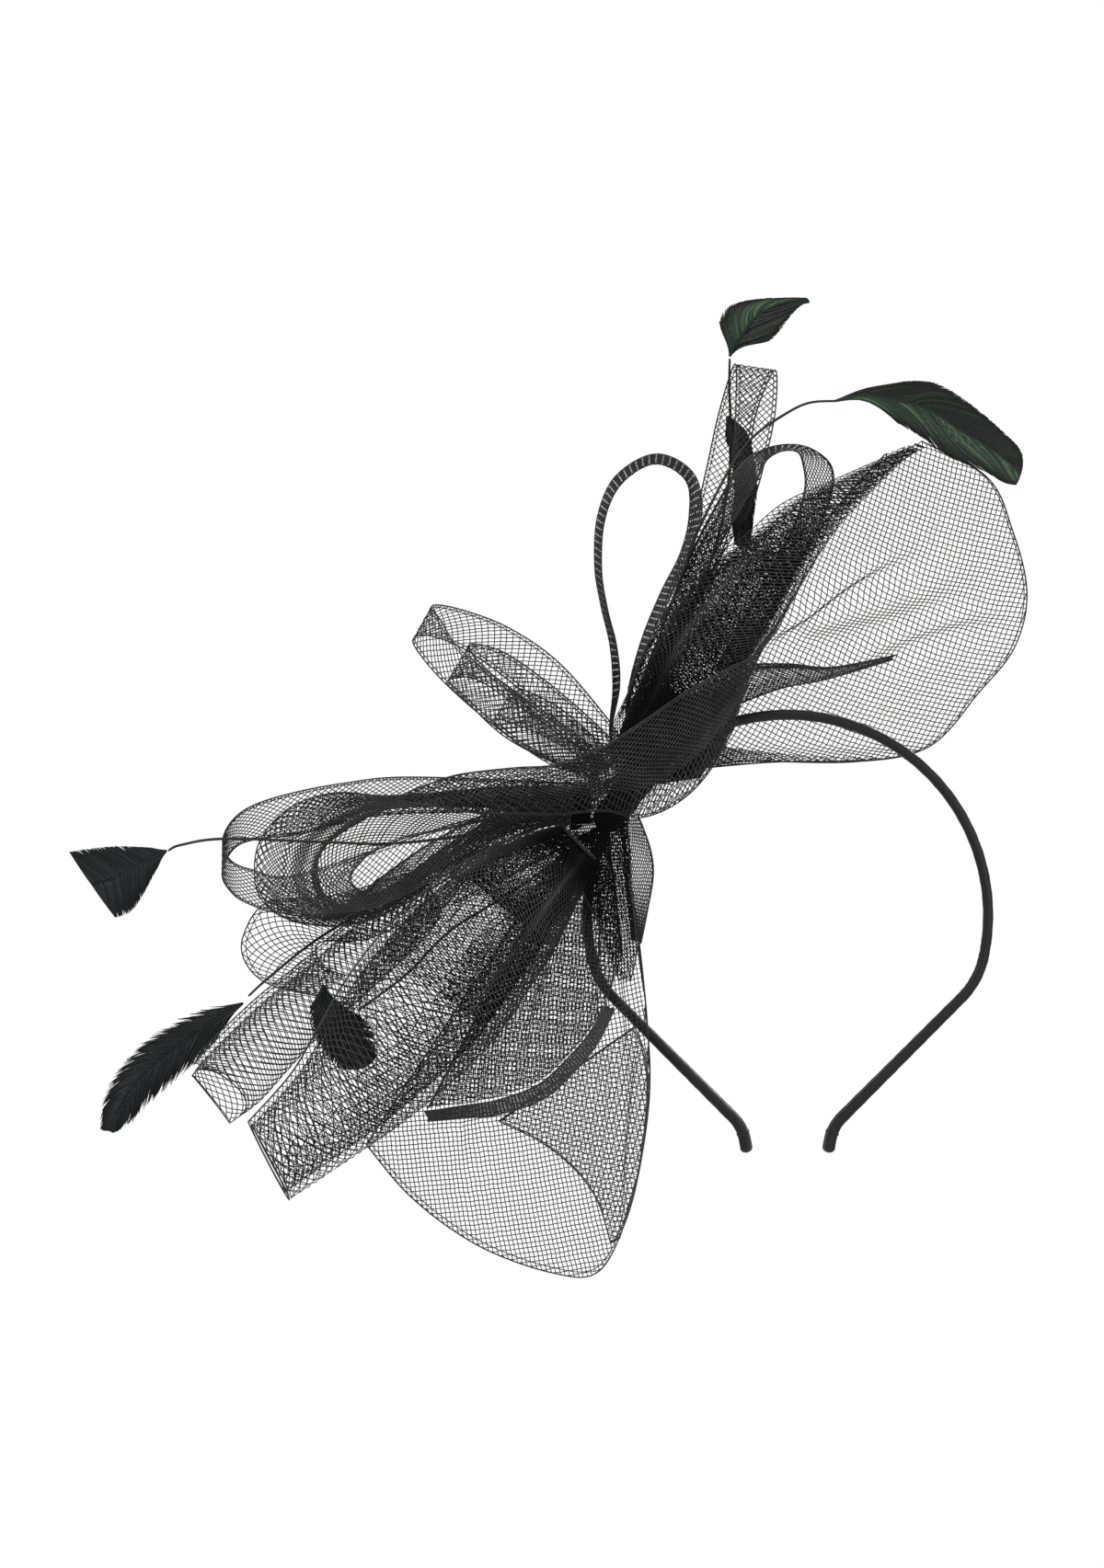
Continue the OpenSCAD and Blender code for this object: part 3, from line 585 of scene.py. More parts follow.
def tubes(lines, normals, radius, sides, keep=None, flat=1.0):
    """Points and quads of tubes round many lines, flattened along the normal by flat, and the index of
    each point by line, station and side. With keep, only the stations that it keeps, and which they are."""
    lines = np.asarray(lines, float)
    along = unit(np.gradient(lines, axis=1))
    side = unit(np.cross(along, normals))
    out = np.cross(side, along)
    turn = (np.arange(sides) + 0.5) / sides * 2 * math.pi
    radius = np.broadcast_to(radius, lines.shape[:2])[:, :, None, None] / math.cos(math.pi / sides)
    ring = lines[:, :, None] + radius * (
        np.cos(turn)[:, None] * side[:, :, None] + flat * np.sin(turn)[:, None] * out[:, :, None])
    index = np.arange(ring[..., 0].size).reshape(ring.shape[:3])
    quads = ring_quads(index)
    if keep is None:
        return ring.reshape(-1, 3), quads.reshape(-1, 4), index
    quads = quads[keep[:, :-1] & keep[:, 1:]].reshape(-1, 4)
    used, again = np.unique(quads, return_inverse=True)
    return ring.reshape(-1, 3)[used], again.reshape(-1, 4), used


def closed_tube(piece, line, normals, radius, sides=6, flat=1.0, **values):
    """One tube with its two ends closed."""
    points, quads, index = tubes(line[None], normals[None], radius, sides, flat=flat)
    index = index[0] + piece.count
    piece.add(points, quads, **values)
    piece.faces += [index[:1, ::-1], index[-1:]]


# ---- Crin: two families of threads at 45 degrees to the edge, woven over and under each other.

PITCH = 2.26
THREAD, FLAT = 0.3, 0.4
EDGE_THREAD, EDGE_FLAT = 0.45, 0.6
EDGE_GAP, EDGE_STEP = 1.1, 1.6
WEAVE = 0.12
LAYER_GAP, LINING_GAP = 0.8, 1.6
LEAST_WIDTH = 10.5  # of a flat braid
FINE, ROUGH = 801, 25  # stations along a braid, for its length and for its width


def crowded(t, c, crowds):
    """Pulls c towards lines from (t0, c0) to (t1, c1), as (t0, c0, t1, c1, strength, half width): the
    crin lies in closer folds along them."""
    for t0, c0, t1, c1, strength, half in crowds:
        off = c - np.interp(t, (t0, t1), (c0, c1))
        window = np.clip((t - t0) / 0.8 + 0.5, 0, 1) * np.clip((t1 - t) / 0.8 + 0.5, 0, 1)
        c = c - strength * window * off * np.exp(-((off / half) ** 2))
    return np.clip(c, 0, 1)


def edge_threads(piece, surface, t, c, inset_t, inset_c, inner=0.0):
    """The thick thread that finishes an edge, and the thin one beside it."""
    closed_tube(piece, surface(t, c), normal_of(surface, t, c), EDGE_THREAD / 2 * MM, 6, EDGE_FLAT, inner=inner)
    t, c = t + inset_t, c + inset_c
    closed_tube(piece, surface(t, c), normal_of(surface, t, c), THREAD / 2 * MM, 4, FLAT, inner=inner)


def finish_crin(piece, name):
    made = piece.make(name + "_crin", "crown", "crin", name)


def crin(name, surface, rows, gather=1.0, spread=((0, 0), (1, 1)), crowds=(), trim=None, edges="AB",
         woven=True, lining=0, inner=0.0):
    """A braid that follows a surface. gather is how many times wider the flat braid is than the surface,
    or pairs (t, times) for a braid cut to that outline. spread gives the c of places across the flat
    width, both from 0 to 1. trim gives the t of its last edge at c. edges names the sides with an edge
    thread: A and B at c 0 and 1, 0 and 1 at its ends. Threads that aren't woven lie in two layers, with
    half as many stations. lining is how many times wider a second layer behind is; that layer is painted
    in shade. inner is 1, or gives 1 at (t, c), where shade is painted on the threads."""
    last = len(rows) - 1
    fine = np.linspace(0, last, FINE)
    line = surface(fine, np.full(FINE, 0.5)) / MM
    rate = np.linalg.norm(np.gradient(line, fine, axis=0), axis=1)
    flat = np.concatenate([[0], np.cumsum((rate[1:] + rate[:-1]) / 2 * np.diff(fine))])
    length = flat[-1]
    stations = np.linspace(0, last, ROUGH)
    t, c = np.meshgrid(stations, np.linspace(0, 1, 60), indexing="ij")
    across = np.linalg.norm(np.diff(surface(t, c) / MM, axis=1), axis=2).sum(1)
    if isinstance(gather, tuple):
        widths = across * np.interp(stations, *np.array(gather, float).T)
    else:
        widths = np.full(ROUGH, across.mean() * gather)
    widths *= max(1, LEAST_WIDTH / widths.max())
    width = widths.max()
    share, place = np.array(spread, float).T
    piece = Pieces()
    for layer, times in enumerate((1, lining) if lining else (1,)):
        wide = width * times
        steps = max(4, round(wide / (PITCH / 2)))
        v = np.linspace(0, wide, steps + 1)[:: 1 if woven else 2]
        if v[-1] < wide:
            v = np.append(v, wide)
        beat = math.pi / (wide / steps)
        reach = int(wide / PITCH) + 1
        for way in (1, -1):
            start = -reach if way > 0 else 0
            stop = int(length / PITCH) + (1 if way > 0 else reach + 1)
            k = np.arange(start, stop)
            slip = draw.normal(0, 0.09, len(k))
            u = (k * PITCH + slip)[:, None] + way * v[None, :]
            t = np.interp(u, flat, fine)
            part = v / np.interp(t, stations, widths * times)
            c = crowded(t, np.interp(part, share, place), crowds)
            keep = (u >= 0) & (u <= length) & (part < 1 + 1.5 / wide)
            draw.random(len(k))  # not used, but every later piece's pattern depends on it
            if trim:
                keep &= t <= trim(c)
            n = normal_of(surface, t, c)
            over = np.cos(beat * v)[None] * (-1.0) ** k[:, None] if woven else np.ones(t.shape)
            lift = way * WEAVE * over
            p = surface(t, c) + n * (lift[..., None] * MM)
            p[..., 1] += layer * LINING_GAP * MM
            points, quads, used = tubes(p, n, THREAD / 2 * MM, 4, keep, FLAT)
            # Painted shade: 1 on the lining layer and where inner gives 1, stored as the inner attribute.
            deep = np.maximum(inner(t, c) if callable(inner) else inner, layer) + np.zeros(c.shape)
            piece.add(points, quads, inner=deep.reshape(-1)[used // 4])
    for which in edges:
        if which in "AB":
            at, inward = (0.0, 1) if which == "A" else (1.0, -1)
            count = int(length / EDGE_STEP) + 4
            stop = float(trim(np.array(at))) if trim else last
            t, c = np.linspace(0, stop, count), np.full(count, at)
            edge_threads(piece, surface, t, c, 0, inward * EDGE_GAP / width)
        else:
            count = int(width / EDGE_STEP) + 4
            c = np.linspace(0, 1, count)
            t = np.zeros(count) if which == "0" else (trim(c) if trim else np.full(count, float(last)))
            edge_threads(piece, surface, t, c, (EDGE_GAP if which == "0" else -EDGE_GAP) / length * last, 0)
    cut = np.interp(np.interp(np.linspace(0, length, 100), flat, fine), stations, widths).mean()
    width, cut = width * (1 + lining), cut * (1 + lining)
    finish_crin(piece, name)


# ---- Wide pieces of crin that face the front. Their mesh has the same cells all over.

CELL = 1.5


def chart(surface, last):
    """Gives the (t, c) at which a surface has a given x and z, in millimetres."""

    def seen(t, c):
        return surface(t, c)[..., ::2] / MM

    t, c = np.meshgrid(np.linspace(0, last, 90 * last), np.linspace(0, 1, 300), indexing="ij")
    flat = seen(t, c)
    low = flat.min((0, 1)) - 5 * CELL
    cell = ((flat - low) / CELL).astype(int)
    table = np.full((*(cell.max((0, 1)) + 6), 2), np.nan)
    table[cell[..., 0], cell[..., 1]] = np.stack([t, c], -1)
    for _ in range(3):
        for axis, way in ((0, 1), (0, -1), (1, 1), (1, -1)):
            table = np.where(np.isnan(table), np.roll(table, way, axis), table)

    def find(q):
        k = np.clip(((q - low) / CELL).astype(int), 0, np.array(table.shape[:2]) - 1)
        t, c = np.moveaxis(table[k[..., 0], k[..., 1]], -1, 0)
        known = ~np.isnan(t)
        t, c = np.nan_to_num(t), np.nan_to_num(c)
        for _ in range(5):
            t, c = np.clip(t, 0.01, last - 0.02), np.clip(c, 0.01, 0.98)
            here = seen(t, c)
            by_t = (seen(t + 0.01, c) - here) / 0.01
            by_c = (seen(t, c + 0.01) - here) / 0.01
            miss = q - here
            size = by_t[..., 0] * by_c[..., 1] - by_t[..., 1] * by_c[..., 0]
            size = np.where(np.abs(size) < 1e-6, 1e-6, size)
            t = t + (miss[..., 0] * by_c[..., 1] - miss[..., 1] * by_c[..., 0]) / size
            c = c + (by_t[..., 0] * miss[..., 1] - by_t[..., 1] * miss[..., 0]) / size
        return t, c, known & (t >= 0) & (t <= last) & (c >= 0) & (c <= 1)

    return find


def folded(q, folds):
    """Points (x, z) pulled towards fold lines, and how far the folds lift them to the front. A fold is
    (start, end, sag, pull, half width, lift), all in millimetres but pull."""
    lift = np.zeros(q.shape[:-1])
    for start, end, sag, pull, half, high in folds:
        start, run = np.array(start, float), np.array(end, float) - np.array(start, float)
        size = np.linalg.norm(run)
        along, across = run / size, np.array([-run[1], run[0]]) / size
        s = (q - start) @ along / size
        off = (q - start) @ across - 4 * sag * s * (1 - s)
        near = np.clip(4 * s, 0, 1) * np.clip(3 * (1 - s), 0, 1) * np.exp(-((off / half) ** 2))
        q = q - (pull * off * near)[..., None] * across
        lift = lift + high * near
    return q, lift


def bent_line(count, step, heading, bend):
    """Points at even steps either side of (0, 0) on a line whose heading turns by bend degrees per 100 mm."""
    k = np.arange(-count, count + 1)
    turn = np.radians(heading + bend * (k + 0.5) * step / 100)
    p = np.cumsum(np.stack([np.cos(turn), np.sin(turn)], -1), 0) * step
    return p - p[count]


def panel(name, surface, rows, leans, bends, folds, edges, root=None):
    """Crin cut to a surface's outline, with a layer for each of leans. Its two families of threads head 45
    degrees either side of lean, bent by the two bends; root is (x, z, strength, radius) of a place that
    the mesh is drawn in to."""
    last = len(rows) - 1
    find = chart(surface, last)
    t, c = np.meshgrid(np.linspace(0, last, 200), np.linspace(0, 1, 60), indexing="ij")
    sheet = surface(t, c) / MM
    flat = sheet[..., ::2].reshape(-1, 2)
    middle = (flat.min(0) + flat.max(0)) / 2
    step = PITCH / math.sqrt(2)
    count = int((np.linalg.norm(np.ptp(flat, axis=0)) / 2 + 40) / step)
    over = (-1.0) ** np.add.outer(np.arange(2 * count + 1), np.arange(2 * count + 1))
    piece = Pieces()
    for layer, lean in enumerate(leans):
        one = bent_line(count, step, lean - 45, bends[0])
        two = bent_line(count, step, lean + 45, bends[1])
        slip = draw.normal(0, 0.07, (2, 2 * count + 1))
        q = middle + one[:, None] + two[None, :]
        q = q + slip[0][:, None, None] * (two[1] - two[0]) / step
        q = q + slip[1][None, :, None] * (one[1] - one[0]) / step
        if root:
            centre, strength, radius = np.array(root[:2], float), root[2], root[3]
            far = np.linalg.norm(q - centre, axis=-1, keepdims=True)
            drawn_in = strength * radius * (1 - np.exp(-far / radius)) / np.maximum(far, 0.1)
            q = centre + (q - centre) * (1 - drawn_in)
        t, c, inside = find(folded(q, folds)[0])
        t, c = np.clip(t, 0, last), np.clip(c, 0, 1)
        p = surface(t, c)
        p[..., 1] += (layer * LAYER_GAP - folded(p[..., ::2] / MM, folds)[1]) * MM
        n = normal_of(surface, t, c)
        for way in (1, -1):
            w = p + n * (way * WEAVE * over)[..., None] * MM
            if way < 0:
                w, n, inside = w.swapaxes(0, 1), n.swapaxes(0, 1), inside.T
            near = inside.copy()
            near[:, 1:] |= inside[:, :-1]
            near[:, :-1] |= inside[:, 1:]
            points, quads, _ = tubes(w, n, THREAD / 2 * MM, 4, near, FLAT)
            piece.add(points, quads, inner=0.0)

    def lifted(t, c):
        p = surface(t, c)
        p[..., 1] -= folded(p[..., ::2] / MM, folds)[1] * MM
        return p

    for which in edges:
        lengthwise = which in "AB"
        span = np.linspace(0, last if lengthwise else 1, 140 if lengthwise else 60)
        if lengthwise:
            t, c = span, np.full(140, float(which == "B"))
        else:
            t, c = np.full(60, last * float(which)), span
        inward = (1 if which in "A0" else -1) * 0.012
        edge_threads(piece, lifted, t, c, 0 if lengthwise else inward * last, inward if lengthwise else 0)
    size = np.ptp(flat, axis=0)
    along, across = np.diff(sheet, axis=0)[:, :-1], np.diff(sheet, axis=1)[:-1]
    area = np.linalg.norm(np.cross(along, across), axis=-1).sum()
    size[1] *= len(leans)
    area = min(area * len(leans), size[0] * size[1])
    finish_crin(piece, name)


# ---- Feathers.


def feather(name, rows, slot, barbs, tilt, ragged=0.015, thick=0.62, fluff=0.0, dark=0):
    """Barbs leave the middle line of a vane and lean towards its tip by tilt (in t). The half on the side
    dark (-1 is towards edge A) has the colour of the vane's outline."""
    last = len(rows) - 1
    surface = ribbon(rows, 0.1)
    piece = Pieces()
    steps = 9
    s = np.linspace(0, 1, steps)
    for side in (-1, 1):
        start = np.linspace(-0.02 * last, last - 0.02, barbs)
        reach = np.clip(1 - np.abs(draw.normal(0, ragged, barbs)), 0.6, 1)
        lean = tilt * (1 + draw.normal(0, 0.05, barbs))
        t = start[:, None] + lean[:, None] * s**1.15 * reach[:, None]
        over = np.clip((t - last) / (0.18 * last), 0, 1)
        c = 0.5 + side * 0.54 * (s * reach[:, None]) * (1 - 0.6 * over)
        t = np.clip(t, 0, last)
        n = normal_of(surface, t, np.clip(c, 0.01, 0.99))
        p = surface(t, c)
        lift = draw.normal(0, 0.10, (barbs, 1)) * s + 0.25 * s * (1 - s)
        curl = fluff * np.cumsum(draw.normal(0, 1, (barbs, steps, 3)), axis=1) * s[:, None] * 0.5
        p = p + n * lift[..., None] * MM + curl * MM
        radius = thick / 2 * (1 - 0.8 * s**4) * MM
        tone = draw.random(barbs)
        points, quads, index = tubes(p, n, np.broadcast_to(radius, p.shape[:2]), 4, flat=0.3)
        out = np.broadcast_to(np.maximum(s, 0.8 * (side == dark))[None, :, None], index.shape).reshape(-1)
        tones = np.broadcast_to(tone[:, None, None], index.shape).reshape(-1)
        before = piece.count
        piece.add(points, quads, barb_out=out, barb_tone=tones)
        piece.faces += [index[:, 0, ::-1] + before, index[:, -1] + before]
    t = np.linspace(0, last * 0.97, 40)
    c = np.full(40, 0.5)
    taper = (0.42 - 0.3 * np.linspace(0, 1, 40)) * MM
    closed_tube(piece, surface(t, c), normal_of(surface, t, c), taper[None], 6, barb_out=0.0, barb_tone=0.1)
    piece.make(name + "_barbs", "crown", slot, name)


def quill(name, route):
    """A stripped quill, thinner towards its feather."""
    count = 12 * (len(route) - 1) + 1
    line = row_at(route, np.linspace(0, len(route) - 1, count)) * MM
    facing = np.broadcast_to([0.0, 1.0, 0.0], line.shape)
    taper = np.interp(np.linspace(0, 1, count), [0, 0.2, 1], [0.36, 0.45, 0.5]) * MM
    piece = Pieces()
    closed_tube(piece, line, facing, taper[None], 10)
    piece.make(name + "_tapered", "crown", "quill", name)


# ---- Headband. Its line starts on the crown and runs down the right leg; the left one is its mirror.

BAND_R, BAND_W, BAND_T = 65.4, 5.0, 3.3
TURN_AT, TURN_R = 12, 27
LEG_STRAIGHT, FOOT_R, FOOT_TURN, FOOT_STRAIGHT = 55, 14, 35, 2.5
KNOT_ANGLE = 51
BAND_SIDES = 32
LEG_TWIST = -0.30
CAP_LENGTH = 7.5


def ray(degrees):
    return np.array([math.cos(math.radians(degrees)), math.sin(math.radians(degrees))])


def band_line(start, past):
    """Points (x, z) from the angle start on the crown to the end of the foot and past it, 0.8 mm apart."""
    turn_centre = (BAND_R - TURN_R) * ray(-TURN_AT)
    foot_start = turn_centre + TURN_R * ray(-45) - LEG_STRAIGHT * ray(45)
    foot_centre = foot_start + FOOT_R * ray(-45)
    points = [BAND_R * ray(a) for a in np.arange(start, -TURN_AT, -1)]
    points += [turn_centre + TURN_R * ray(a) for a in np.arange(-TURN_AT, -45, -1.5)]
    points += [foot_centre - FOOT_R * ray(a) for a in np.arange(-45, FOOT_TURN - 45 + 1, 2.5)]
    points.append(points[-1] + past * ray(FOOT_TURN - 45 - 90))
    points = np.array(points)
    run = run_along(points)
    even = np.linspace(0, run[-1], int(run[-1] / 0.8) + 1)
    return at_run(points, run, even), even


def band_ring(turn, twist, out_size, side_size):
    """The band's section: out of the head first, then across it, with the satin's lap on the inner face."""
    power = 2 / 3.4
    out = BAND_T / 2 * out_size * np.sign(np.cos(turn)) * np.abs(np.cos(turn)) ** power
    across = BAND_W / 2 * side_size * np.sign(np.sin(turn)) * np.abs(np.sin(turn)) ** power
    lap = np.where((out < -0.3 * BAND_T) & (across > 0.25), 0.14, 0)
    out = out - lap
    c, s = np.cos(twist), np.sin(twist)
    return out * c - across * s, out * s + across * c


def band_tube(line, side, out_size, side_size, wrinkle, twist):
    """A tube of the band's section along a line; side -1 mirrors it onto the left leg."""
    along = unit(np.gradient(line, axis=0))
    outward = np.stack([-along[:, 1], along[:, 0]], 1)
    turn = np.linspace(0, 2 * math.pi, BAND_SIDES, endpoint=False)[None]
    out, across = band_ring(turn, twist[:, None], out_size[:, None], side_size[:, None])
    out = out + wrinkle(turn)
    x = line[:, 0:1] + outward[:, 0:1] * out
    z = line[:, 1:2] + outward[:, 1:2] * out
    ring = np.stack([side * x, -across, z], -1) * MM
    index = np.arange(ring[..., 0].size).reshape(ring.shape[:2])
    faces = [ring_quads(index).reshape(-1, 4), index[:1, ::-1], index[-1:]]
    if side > 0:
        faces = [f[:, ::-1] for f in faces]
    piece = Pieces()
    piece.add(ring.reshape(-1, 3), faces[0])
    piece.faces += faces[1:]
    return piece


def headband(side):
    word = "right" if side > 0 else "left"
    start = 90 + KNOT_ANGLE if side > 0 else 90 - KNOT_ANGLE
    line, run = band_line(start, 1.0)
    ones = np.ones(len(line))
    # The leg leans a little, so that its broad face starts to show towards the tip.
    low = np.clip((-line[:, 1] - 8) / 60, 0, 1)
    twist = LEG_TWIST * low
    bend = np.exp(-(((line[:, 1] + 19) / 12) ** 2))

    def wrinkle(turn):
        inner = np.clip(-np.cos(turn), 0, 1)
        pleats = 0.07 * np.sin(run[:, None] * 2.7 + 2 * np.sin(turn)) * bend[:, None] * inner
        slack = 0.035 * np.sin(0.9 * run[:, None] + 3 * turn) + 0.02 * np.sin(2.3 * run[:, None] - 2 * turn)
        return pleats + slack

    nodes = [f"satin_{word}_leg"] + (["satin_crown"] if side > 0 else [])
    made = band_tube(line, side, ones, ones, wrinkle, twist).make(f"satin_{word}_cover", None, "satin", *nodes)
    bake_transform(made)

    line, run = band_line(-TURN_AT, FOOT_STRAIGHT + BAND_T / 2)
    keep = run > run[-1] - CAP_LENGTH
    line, run = line[keep], run[keep] - run[-1] + CAP_LENGTH
    fine = np.linspace(0, CAP_LENGTH, 40)
    line = at_run(line, run, fine)
    tip = np.clip((fine - CAP_LENGTH + BAND_T / 2) / (BAND_T / 2), 0, 0.995)
    rounding = np.sqrt(np.clip(1 - tip**2, 0, 1))
    hem = 1 + 0.10 * np.exp(-(((fine - 0.7) / 0.5) ** 2)) + 0.05
    size = hem * rounding

    def folds(turn):
        return 0.05 * np.sin(5 * turn) * np.clip(fine / 6, 0, 1)[:, None]

    cap = band_tube(line, side, size, size * 0.97, folds, np.full(len(line), LEG_TWIST))
    cap.make(f"{word}_tip_cap_folded", f"{word}_leg", "satin", f"{word}_tip_cap")


# ---- The base, in the knot's own frame: x along the band, y to the back, z out of the head.

FELT_L, FELT_W, FELT_T = 34, 10, 1.5
THREAD_TURNS, THREAD_PITCH, THREAD_FROM = 5, 0.9, 2.0
STITCH_X, STITCH_Z = (8, 11, 14), 3.7
FUZZ_HAIRS = 1400


def at_knot(points):
    points = np.asarray(points, float)
    a = math.radians(KNOT_ANGLE)
    x = np.array([math.cos(a), 0, math.sin(a)])
    z = np.array([-math.sin(a), 0, math.cos(a)])
    y = np.array([0, 1.0, 0])
    return (BAND_R * z + points[..., 0:1] * x + points[..., 1:2] * y + points[..., 2:3] * z) * MM


def felt_pad(word, side):
    """A die-cut pad with a soft edge, dimpled by its stitches, and the fuzz on it."""
    around = np.linspace(0, 2 * math.pi, 120, endpoint=False)
    straight = (FELT_L - FELT_W) / 2
    rings = np.concatenate([np.linspace(0.03, 0.9, 22), 0.9 + 0.1 * np.sin(np.linspace(0.2, math.pi / 2, 5))])
    x = FELT_W / 2 * np.cos(around)[None] * rings[:, None] + straight * np.sign(np.cos(around))[None]
    z = FELT_W / 2 * np.sin(around)[None] * rings[:, None]
    soft = np.sqrt(np.clip(1 - ((rings - 0.9) / 0.1).clip(0) ** 2, 0, 1))[:, None]
    thick = FELT_T / 2 * soft + 0.05 * np.sin(1.9 * x + 0.8 * z) * np.sin(1.3 * z) * soft
    for sx in (-1, 1):
        for hole in STITCH_X:
            for sz in (-1, 1):
                near = (x - sx * hole) ** 2 + (z - sz * STITCH_Z) ** 2
                thick = thick - 0.35 * np.exp(-near / 0.8)
    middle = side * (BAND_W + FELT_T) / 2
    front = np.stack([x, middle - thick, z], -1)
    back = np.stack([x, middle + thick, z], -1)[::-1]
    shell = np.concatenate([front, back])
    index = np.arange(shell[..., 0].size).reshape(shell.shape[:2])
    piece = Pieces()
    piece.add(at_knot(shell).reshape(-1, 3), ring_quads(index)[..., [0, 3, 2, 1]].reshape(-1, 4))
    piece.faces += [index[:1], index[-1:, ::-1]]
    pad = piece.make(f"felt_{word}_pad", "crown", "felt", f"felt_{word}")

    fuzz = Pieces()
    count = FUZZ_HAIRS
    ring = draw.random(count) ** 0.5
    turn = draw.random(count) * 2 * math.pi
    fx = FELT_W / 2 * np.cos(turn) * ring + straight * (2 * draw.random(count) - 1)
    fz = FELT_W / 2 * np.sin(turn) * ring
    outer = side * (BAND_W / 2 + FELT_T - 0.05)
    root = np.stack([fx, np.full(count, outer), fz], -1)
    lean = draw.normal(0, 0.35, (count, 3))
    lean[:, 1] = side * np.abs(draw.normal(0.12, 0.1, count))
    steps = np.linspace(0, 1, 4)[None, :, None]
    line = root[:, None] + lean[:, None] * steps + draw.normal(0, 0.05, (count, 4, 3)) * steps
    facing = np.broadcast_to([0.0, 0.0, 1.0], line.shape)
    points, quads, _ = tubes(at_knot(line), facing, 0.022 * MM, 3)
    fuzz.add(points, quads)
    fluff = fuzz.make(f"felt_{word}_fuzz", "crown", "felt")
    return pad


def two_ply(piece, line, facing, radius):
    """Two strands laid round each other, so that a thread shows its twist."""
    run = run_along(line)
    even = np.linspace(0, run[-1], int(run[-1] / 0.25) + 2)
    line = at_run(line, run, even)
    along = unit(np.gradient(line, axis=0))
    side = unit(np.cross(along, facing))
    out = np.cross(side, along)
    for phase in (0, math.pi):
        a = even / 1.5 * 2 * math.pi + phase
        strand = line + radius * 0.48 * (np.cos(a)[:, None] * side + np.sin(a)[:, None] * out)
        closed_tube(piece, at_knot(strand), out, radius * 0.56 * MM, 6)


def rounded(points, passes=3):
    """Cuts a polyline's corners."""
    p = np.asarray(points, float)
    for _ in range(passes):
        q, r = 0.75 * p[:-1] + 0.25 * p[1:], 0.25 * p[:-1] + 0.75 * p[1:]
        p = np.concatenate([p[:1], np.stack([q, r], 1).reshape(-1, 3), p[-1:]])
    return p


def base_threads():
    wraps = Pieces()
    deep, out = BAND_W / 2 + FELT_T + 0.3, FELT_W / 2 + 0.3
    for side in (-1, 1):
        corners = []
        for k in range(THREAD_TURNS):
            for i, (y, z) in enumerate(((-deep, -out), (-deep, out), (deep, out), (deep, -out))):
                corners.append((side * (THREAD_FROM + (k + i / 4) * THREAD_PITCH), y, z))
        two_ply(wraps, rounded(corners), np.array([1.0, 0.02, 0.03]), 0.3)
    wraps.make("binding_wraps", "crown", "thread", "binding_thread")

    stitches = Pieces()
    face = BAND_W / 2 + FELT_T + 0.12
    for side in (-1, 1):
        for up in (-1, 1):
            first, second, third = (side * x for x in STITCH_X)
            z = up * STITCH_Z
            path = [(first - 0.5 * side, -face - 0.2, z + 0.5), (first, -face, z), (first, face, z),
                    (second, face, z), (second, -face, z), (third, -face, z), (third, face, z),
                    (third + 0.6 * side, face + 0.2, z + 0.6)]
            two_ply(stitches, rounded(path, 2), np.array([0.03, 0.05, 1.0]), 0.26)
    stitches.make("base_stitching", "crown", "thread", "base_stitches")


# ---- Where shade is painted on the rolls' crin, and how the small roll's end is cut.

SMALL_TURNS, ROLL_FROM = 1.15, 20


def inside(t, c):
    """1 on the inner windings of a roll, where shade is painted."""
    return np.clip((c - 0.42) / 0.1, 0, 1)


def upper_roll_painted_shade(t, c):
    # Painted shade on the inner windings, and along the left edge near the roll's root.
    return np.maximum(inside(t, c), np.clip((3.4 - t) / 1.2, 0, 1) * np.clip((0.22 - c) / 0.08, 0, 1))


def big_roll_painted_shade(t, c):
    # Painted shade on the inner windings, and at the roll's root in the knot.
    return np.maximum(inside(t, c), np.clip((1.3 - t) / 0.8, 0, 1))


def open_mouth(c):
    """The small roll is cut further in on its front, so that it opens towards the viewer."""
    turn = np.radians(ROLL_FROM) + 2 * math.pi * SMALL_TURNS * c
    return len(SMALL_ROLL) - 1 - np.clip(np.sin(turn), 0, 1) ** 0.5


# ---- The object.

camera()
studio()

SKINS = {
    # The crin's third colour is its painted shade, for threads inside rolls and behind layers.
    "crin": crin_material("crin", (0.02, 0.02, 0.0205), (0.06, 0.059, 0.06), (0.003, 0.003, 0.003)),
    "satin": satin_material(),
    "felt": felt_material().material,
    "thread": plain_material(
        "waxed_thread", 1500, 4, [(0.3, (0.008, 0.008, 0.008)), (0.8, (0.03, 0.029, 0.028))],
        Roughness=0.55).material,
    "quill": plain_material(
        "quill", 160, 3, [(0.3, (0.008, 0.007, 0.006)), (0.8, (0.035, 0.026, 0.02))], Roughness=0.38).material,
    "feather_green": feather_material(
        "green_feather", (0.025, 0.055, 0.036), (0.009, 0.011, 0.010), (0.12, 0.2, 0.1)),
    "feather_black": feather_material(
        "black_feather", (0.008, 0.009, 0.011), (0.006, 0.006, 0.007), (0.02, 0.024, 0.028)),
}

headband(-1)
headband(1)
felt_front = felt_pad("front", -1)
felt_pad("back", 1)
base_threads()

# The fan's inner edge reaches further in behind the roll than the CAD solid, and its root into the knot.
FAN = [[-60, 2, 43, -58, 2, 39], [-40, 5, 52, -34, 7, 46]]
FAN += [[r[0] - 5, r[1] - 4, r[2] + 1.5, *r[3:]] for r in UPPER_FAN]
panel("upper_fan", ribbon(FAN, 0.7), FAN, (20,), (28, 22), edges="AB",
      folds=[((-12, 83), (46, 121), 3, 0.95, 3.5, 3), ((-10, 90), (66, 112), -4, 0.5, 8, 3),
             ((20, 79), (76, 98), 4, 0.6, 5, 2), ((-25, 56), (60, 56), -3, 0.4, 5, 1)])
crin("fan_pleat", ribbon(FAN_PLEAT, 0.3), FAN_PLEAT, gather=((0, 2.6), (1, 4), (3, 5)), edges="AB",
     crowds=[(0, 0.1, 3, 0.1, 0.6, 0.25)])
crin("fan_hem", ribbon(FAN_HEM, 0.2), FAN_HEM, gather=((0, 5), (1, 2.8), (2, 1.6), (3, 1.6)), edges="B")


